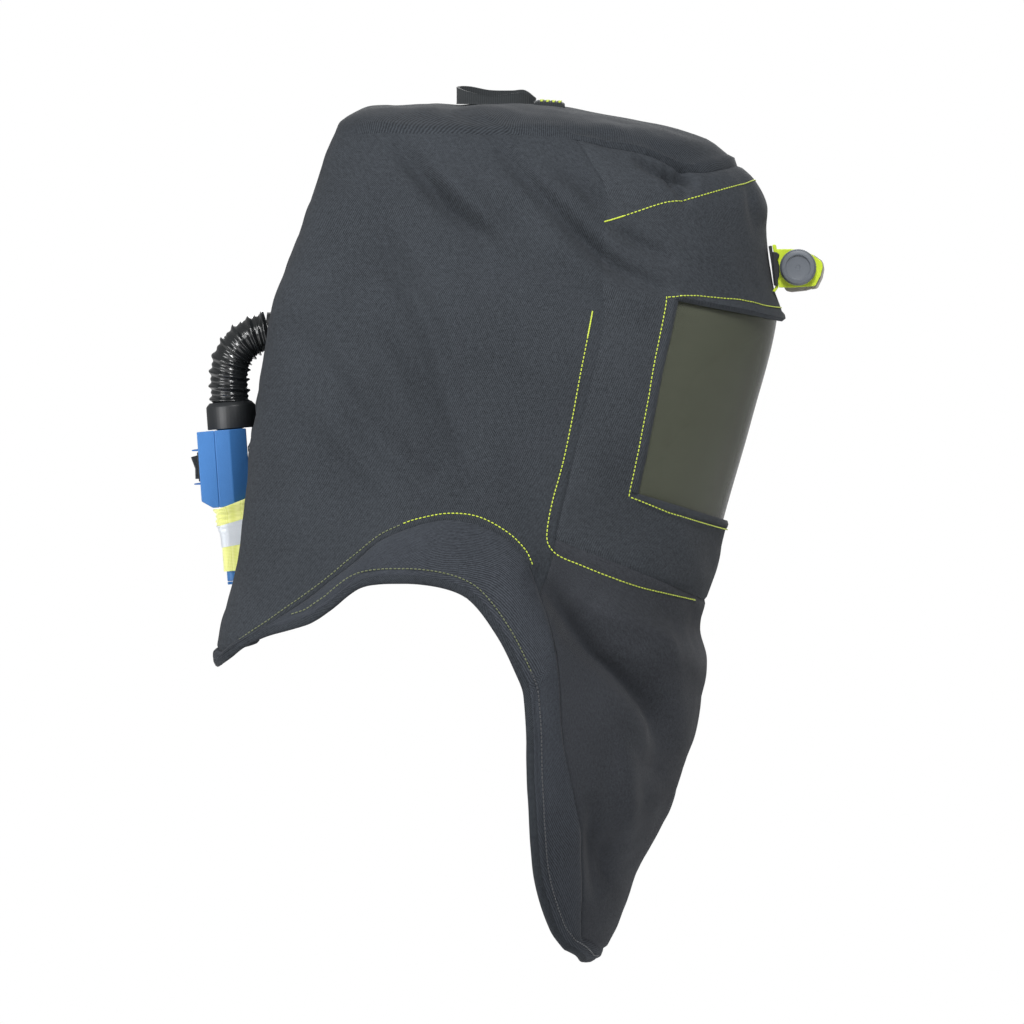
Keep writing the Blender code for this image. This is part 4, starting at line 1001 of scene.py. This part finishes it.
def soften(made, width, segments=3, angle=20):
    """Rounded edges, as moulded and machined pieces have."""
    bevel = made.modifiers.new("edges", "BEVEL")
    bevel.width = width
    bevel.segments = segments
    bevel.limit_method = "ANGLE"
    bevel.angle_limit = math.radians(angle)
    return bevel


def moulding(name, points, faces, finish, rounding, wall=None):
    """A closed or open moulded piece with softened edges, with a wall if it is open."""
    made = mesh_object(name, points, faces, finish)
    bm = bmesh.new()
    bm.from_mesh(made.data)
    bmesh.ops.recalc_face_normals(bm, faces=bm.faces)
    bm.to_mesh(made.data)
    bm.free()
    if wall:
        thick = made.modifiers.new("wall", "SOLIDIFY")
        thick.thickness = wall
        thick.offset = -1
    soften(made, rounding).harden_normals = True
    made.data.shade_smooth()
    made.data.set_sharp_from_angle(angle=math.radians(20))
    return made


# ---------------------------------------------------------------- the blower

def shell(name, outline, axis, reach, hole=None):
    """A moulded half housing: an outline run along X or Z, open on its first-to-last side, with wall
    thickness. hole is a rectangle (half width, low z, high z) cut in its side of greatest y."""
    count = len(outline)
    points = [(end, *place) if axis == "X" else (*place, end) for end in reach for place in outline]
    faces = []
    for i in range(count - 1):
        wall = (i, i + 1, i + 1 + count, i + count)
        face_y = outline[i][0]
        if hole and face_y == outline[i + 1][0] == max(p[0] for p in outline):
            half, low, high = hole
            rim = len(points)
            points += [(-half, face_y, high), (-half, face_y, low),
                       (half, face_y, low), (half, face_y, high)]
            faces += [(wall[j], wall[(j + 1) % 4], rim + (j + 1) % 4, rim + j) for j in range(4)]
        else:
            faces.append(wall)
    faces += [range(count)[::-1], range(count, 2 * count)]
    return moulding(name, in_blower(points), faces, "blue", 0.0011, 0.002)


def plate(name, outline, low, high, finish, rounding, place):
    """A flat piece: an outline of (y, z) run along X, with softened edges."""
    points = place([(x, y, z) for x in (low, high) for y, z in outline])
    count = len(outline)
    faces = [range(count), range(2 * count - 1, count - 1, -1)]
    faces += [((i + 1) % count, i, i + count, (i + 1) % count + count) for i in range(count)]
    return moulding(name, points, faces, finish, rounding)


def make_blower():
    """The housing's two moulded halves, and the knitted sleeve with its silver band."""
    w, corner = 0.031, 0.024
    front = ((-w, 0.0105), (-w, -0.0008), (-corner, -0.0135), (corner, -0.0135), (w, -0.0008), (w, 0.0105))
    dress(shell("blower_front", front, "Z", (-0.0578, 0.0)), "hood", "blue_plastic", "housing_front")
    rear = ((0.0105, 0.0), (0.0236, -0.0003), (0.0236, -0.0524), (0.0154, -0.0578), (0.0105, -0.0578))
    dress(shell("blower_rear", rear, "X", (-w, w), (0.0078, -0.0377, -0.0151)), "hood", "blue_plastic",
          "housing_rear")
    for word, z in (("upper", -0.0137), ("lower", -0.039)):
        fin = ((0.0225, z - 0.0009), (0.028, z - 0.0005), (0.0284, z), (0.028, z + 0.0005),
               (0.0225, z + 0.0009))
        made = plate(f"guard_fin_{word}", fin, -0.0115, 0.0115, "blue", 0.0003, in_blower)
        dress(made, "hood", "blue_plastic")
    make_sleeve("knitted_sleeve", (0.0, 1.0), 0.0, "hivis", "filter_case", "hivis_sleeve")
    make_sleeve("silver_band", (0.27, 0.62), 0.00045, "silver", "knitted_sleeve")


def make_sleeve(name, part, lift, finish, under, *nodes):
    """Part of the stretchy sleeve round the cartridge, from its slanted top edge down, wrinkled
    where it hangs loose below the housing."""
    rows, columns = round(70 * (part[1] - part[0])) + 2, 180
    down = np.linspace(*part, rows)[:, None]
    turn = np.linspace(0, math.tau, columns + 1)[:-1]
    # A squarish ring, wide enough at its top to pull over the housing's lower end.
    c, s = np.cos(turn), np.sin(turn)
    round_x, round_y = (np.sign(v) * np.abs(v) ** 0.36 for v in (c, s))
    loose = np.exp(-((down - 0.2) / 0.16) ** 2)
    wide = 0.0278 + 0.0044 * np.exp(-(down / 0.13) ** 2)
    rear = 0.0106 + 0.0044 * np.exp(-(down / 0.07) ** 2) + 0.003 * loose
    front = -0.0148 - 0.001 * np.exp(-(down / 0.13) ** 2)
    x = round_x * wide
    y = np.where(round_y > 0, round_y * rear, -round_y * front)
    top = -0.0588 + 0.3 * np.clip(0.011 - y, 0, 0.03)
    z = top + down * (-0.106 - top)
    ruck = 0.0007 * loose * np.sin(26 * math.pi * down + 2.2 * np.sin(turn * 3)) * np.abs(s) ** 0.2
    knit = 0.00008 * np.cos(turn * 60)
    grids = []
    for depth in (0.0, 0.0006 if lift else 0.0012):
        out = lift + ruck + knit - depth
        reach = [v + np.sign(v) * out * np.abs(share) ** 0.3 for v, share in ((x, c), (y, s))]
        grids.append(in_blower(np.stack([*reach, z], -1)))
    uv = np.stack([np.broadcast_to(turn * 0.024, z.shape), z], -1)
    made = closed_sheet(name, *grids, finish, uv, wrap=True)
    dress(made, "hood", "reflective_fabric", *nodes)


# ---------------------------------------------------------------- the lamp

# The lamp's plates: ends along X, finish, rounding, body, slot and CAD nodes, and the outline as (y, z)
# from the lamp's axis. A plate whose ends are both on one side has a twin on the other.
LIME = ("lime", 0.0006, "hood", "lime_plastic")
BLACK = ("black", 0.0006, "hood", "black_plastic")
BEZEL = ("light_grey", 0.0006, "lamp_head", "grey_plastic")
LAMP_PLATES = {
    "yoke_ear": (0.029, 0.0268, *LIME, ("lamp_yoke",), (
        (0.0165, 0.0137), (0.005, 0.0138), (-0.006, 0.0122), (-0.0112, 0.0092), (-0.0172, 0.005),
        (-0.0184, 0.0028), (-0.0186, 0.0), (-0.017, -0.006), (-0.0131, -0.0136), (-0.012, -0.0142),
        (0.0053, -0.0152), (0.0142, -0.0152), (0.015, -0.008), (0.0158, 0.005))),
    "yoke_back": (-0.029, 0.029, "lime", 0.0005, "hood", "lime_plastic", (), (
        (0.0166, 0.017), (0.0188, 0.0172), (0.0193, 0.016), (0.016, 0.0005), (0.0136, 0.0005),
        (0.0152, 0.0115))),
    # Below the back only its sides run on, so that the lamp can swing down between them.
    "yoke_foot": (0.029, 0.0268, "lime", 0.0005, "hood", "lime_plastic", (), (
        (0.0138, 0.001), (0.0158, 0.001), (0.0172, -0.015), (0.0192, -0.0178), (0.0172, -0.0186),
        (0.0146, -0.015))),
    "bracket_strip": (-0.03, 0.03, *BLACK, ("lamp_bracket",), (
        (0.0196, 0.0164), (0.0222, 0.016), (0.02, 0.002), (0.0182, -0.0136), (0.0166, -0.014),
        (0.0178, 0.002))),
    "bracket_hook": (0.0292, 0.031, *BLACK, (), (
        (0.019, 0.0118), (0.016, 0.0113), (0.014, 0.0098), (0.0139, 0.0085), (0.0158, 0.0058),
        (0.015, 0.0042), (0.014, 0.0015), (0.014, -0.007), (0.015, -0.0082), (0.0148, -0.0136),
        (0.0172, -0.014), (0.019, 0.004))),
    "lamp_body": (-0.0264, 0.0264, "light_grey", 0.0008, "lamp_head", "grey_plastic", ("lamp_head",), (
        *((0.012 * math.cos(a), 0.012 * math.sin(a)) for a in np.radians(np.arange(-60, 91, 10))),
        (-0.006, 0.0112), (-0.01, 0.0092), (-0.01, -0.0165), (-0.006, -0.0176), (0.0047, -0.0187),
        (0.0084, -0.0179), (0.01, -0.0162), (0.0104, -0.0125))),
    "bezel_side": (0.0264, 0.0205, *BEZEL, ("lamp_bezel",), (
        (-0.01, 0.0096), (-0.0118, 0.0094), (-0.0176, 0.0054), (-0.019, 0.003), (-0.0198, -0.0015),
        (-0.0186, -0.0078), (-0.015, -0.0153), (-0.0136, -0.0162), (-0.01, -0.0166))),
    "bezel_top": (-0.0207, 0.0207, "light_grey", 0.0004, "lamp_head", "grey_plastic", (), (
        (-0.01, 0.0096), (-0.0118, 0.0094), (-0.0176, 0.0054), (-0.0188, 0.0034), (-0.0168, 0.0034),
        (-0.01, 0.0066))),
    "bezel_bottom": (-0.0207, 0.0207, "light_grey", 0.0004, "lamp_head", "grey_plastic", (), (
        (-0.01, -0.013), (-0.0166, -0.009), (-0.0184, -0.0083), (-0.015, -0.0153),
        (-0.0136, -0.0162), (-0.01, -0.0166))),
    "lamp_window": (-0.0204, 0.0204, "clear", 0.0002, "lamp_head", "clear_plastic", ("lamp_glass",), (
        (-0.0178, 0.0034), (-0.0187, 0.001), (-0.019, -0.002), (-0.018, -0.0083), (-0.017, -0.0083),
        (-0.018, -0.002), (-0.0177, 0.001), (-0.0168, 0.0034))),
}
BOWL = ((0.002, 0.0), (0.0032, 0.0008), (0.0044, 0.0024), (0.0053, 0.0048), (0.0058, 0.0062),
        (0.0062, 0.0062), (0.0057, 0.0044), (0.0047, 0.0018), (0.0034, 0.0), (0.002, -0.0008))
KNOB = ((0.0001, 0.0063), (0.0016, 0.0063), (0.002, 0.0066), (0.0084, 0.0066), (0.009, 0.0068),
        (0.0092, 0.0078), (0.0096, 0.0081), (0.0117, 0.0081), (0.0123, 0.0077), (0.0128, 0.0062),
        (0.0136, 0.0056), (0.0138, 0.0048), (0.0138, 0.0012), (0.0134, 0.0), (0.0037, 0.0),
        (0.0035, -0.0058), (0.0001, -0.0058))


def make_lamp():
    """The lamp, its yoke, the bracket it clips over, its two reflectors and the two end knobs."""
    for name, (start, end, finish, rounding, body, slot, nodes, outline) in LAMP_PLATES.items():
        twins = {"": 1} if start < 0 else {"_right": -1, "_left": 1}
        for word, sign in twins.items():
            made = plate(name + word, outline, sign * start, sign * end, finish, rounding, in_lamp)
            dress(made, body, slot, *nodes)
    for side, word in SIDES.items():
        middle = (-side * 0.0094, -0.0102, -0.003)
        made = lathe(f"reflector_bowl_{word}", BOWL, "chrome",
                     lambda points: in_lamp(points[:, [0, 2, 1]] * (1, -1, 1) + middle), sides=72)
        dress(made, "lamp_head", "reflector", f"lamp_reflector_{word}")
    for name, body, sign in (("lamp_knob", "lamp_knob", -1), ("lamp_end_cap", "lamp_head", 1)):
        seat = (sign * (LAMP_HALF_WIDTH + 0.0003), 0, 0)
        made = lathe(f"{name}_turned", KNOB, "grey",
                     lambda points: in_lamp(points[:, [2, 1, 0]] * (sign, -sign, 1) + seat),
                     (60, 0.00025, 0.0134), 240)
        dress(made, body, "grey_plastic", name)


# ---------------------------------------------------------------- what is worn, and the frame's own pieces

def make_brow_pad():
    """The soft pad inside the headband's front."""
    bearings = np.radians(np.linspace(-58, 58, 70))
    share = np.linspace(0, 1, 16)[:, None]
    puff = (1 - np.abs(2 * share - 1) ** 3) ** 0.6 * (1 - np.abs(bearings / bearings[-1]) ** 10) ** 0.5
    grids = []
    for inset in (0.0006 + 0 * puff, 0.0006 + (0.0008 + 0.0034 * puff)):
        x, y = (0.0762 - inset) * np.sin(bearings), (inset - 0.0962) * np.cos(bearings)
        grids.append(np.stack(np.broadcast_arrays(x, y, -0.069 - 0.024 * share), -1))
    made = closed_sheet("soft_brow_pad", *grids, "foam", sharp=60)
    dress(made, "hood", "foam", "brow_pad")


CARRIED = {
    "black": ("lens_rail", "lens_arm_right", "lens_arm_left", "arm_stud_right", "arm_stud_left",
              "ratchet_housing", "ratchet_knob", "inlet_nut", "air_duct", "outlet_spigot",
              "switch_frame", "rocker_switch", "belt_clip"),
    "cap": ("cap_shell", "cap_peak"),
    "white": ("headband", "impeller"),
    "cap_webbing": ("crown_strap_long", "crown_strap_cross"),
    "webbing": ("clip_loop",),
    "blue": ("filter_case", "intake_grille"),
    "steel": ("clip_pin", "fan_motor", "battery_cell_right", "battery_cell_left"),
    "filter": ("particle_filter",),
    "board": ("control_board",),
}


def finish_frame_pieces():
    """Materials and softened edges for the frame's own pieces."""
    for finish, nodes in CARRIED.items():
        for node in nodes:
            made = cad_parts[node]
            made.data.materials.clear()
            made.data.materials.append(MATERIALS[finish])
            made.modifiers.new("weld", "WELD").merge_threshold = 0.00002
            thinnest = min(high - low for low, high in zip(*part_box(node)))
            soften(made, min(0.0006, 0.12 * thinnest), 2, 32)


# ---------------------------------------------------------------- lights and camera

def look_at(obj, target):
    obj.rotation_euler = (Vector(target) - obj.location).to_track_quat("-Z", "Y").to_euler()


VIEW_MIDDLE = Vector((0, -0.0165, -0.2625))
VIEW_SPAN = 0.768  # width and height of what the camera sees


def make_camera():
    """A long view square to the hood's right side."""
    camera = bpy.data.cameras.new("camera")
    camera.type = "ORTHO"
    camera.ortho_scale = VIEW_SPAN
    made = bpy.data.objects.new("camera", camera)
    made.location = VIEW_MIDDLE - Vector((3, 0, 0))
    look_at(made, VIEW_MIDDLE)
    bpy.context.scene.collection.objects.link(made)
    bpy.context.scene.camera = made


def area_light(name, location, size, power, target=(0, 0, -0.25)):
    light = bpy.data.lights.new(name, "AREA")
    light.shape = "RECTANGLE"
    light.size, light.size_y = size
    light.energy = power
    made = bpy.data.objects.new(name, light)
    made.location = location
    look_at(made, target)
    bpy.context.scene.collection.objects.link(made)


def make_studio():
    """A white room, two soft lights and a pale floor."""
    world = bpy.data.worlds.new("studio")
    bpy.context.scene.world = world
    world.use_nodes = True
    tree = world.node_tree
    tree.nodes.clear()
    seen = add(tree, "LightPath").outputs["Is Camera Ray"]
    strength = spread(tree, seen, 0.26, 1.0)
    background = add(tree, "Background", Color=(1, 1, 1, 1))
    tree.links.new(strength, background.inputs["Strength"])
    output = add(tree, "OutputWorld")
    tree.links.new(background.outputs["Background"], output.inputs["Surface"])
    area_light("key", (-1.15, -0.3, 1.0), (0.5, 0.5), 24)
    area_light("rear", (-1.0, 1.2, 0.1), (0.7, 0.9), 16)
    area_light("fill", (1.3, -0.2, 0.5), (1.0, 1.0), 16)
    floor_z = CAD_BOX[0].z - 0.05
    points = [(-3, -3, floor_z), (3, -3, floor_z), (3, 3, floor_z), (-3, 3, floor_z)]
    floor = mesh_object("floor", points, [(0, 1, 2, 3)], "floor")
    bpy.context.scene.view_settings.view_transform = "Standard"


make_camera()
make_studio()
make_hood()
make_stitches()
make_window()
make_loop()
make_hose()
make_blower()
make_lamp()
make_brow_pad()
finish_frame_pieces()
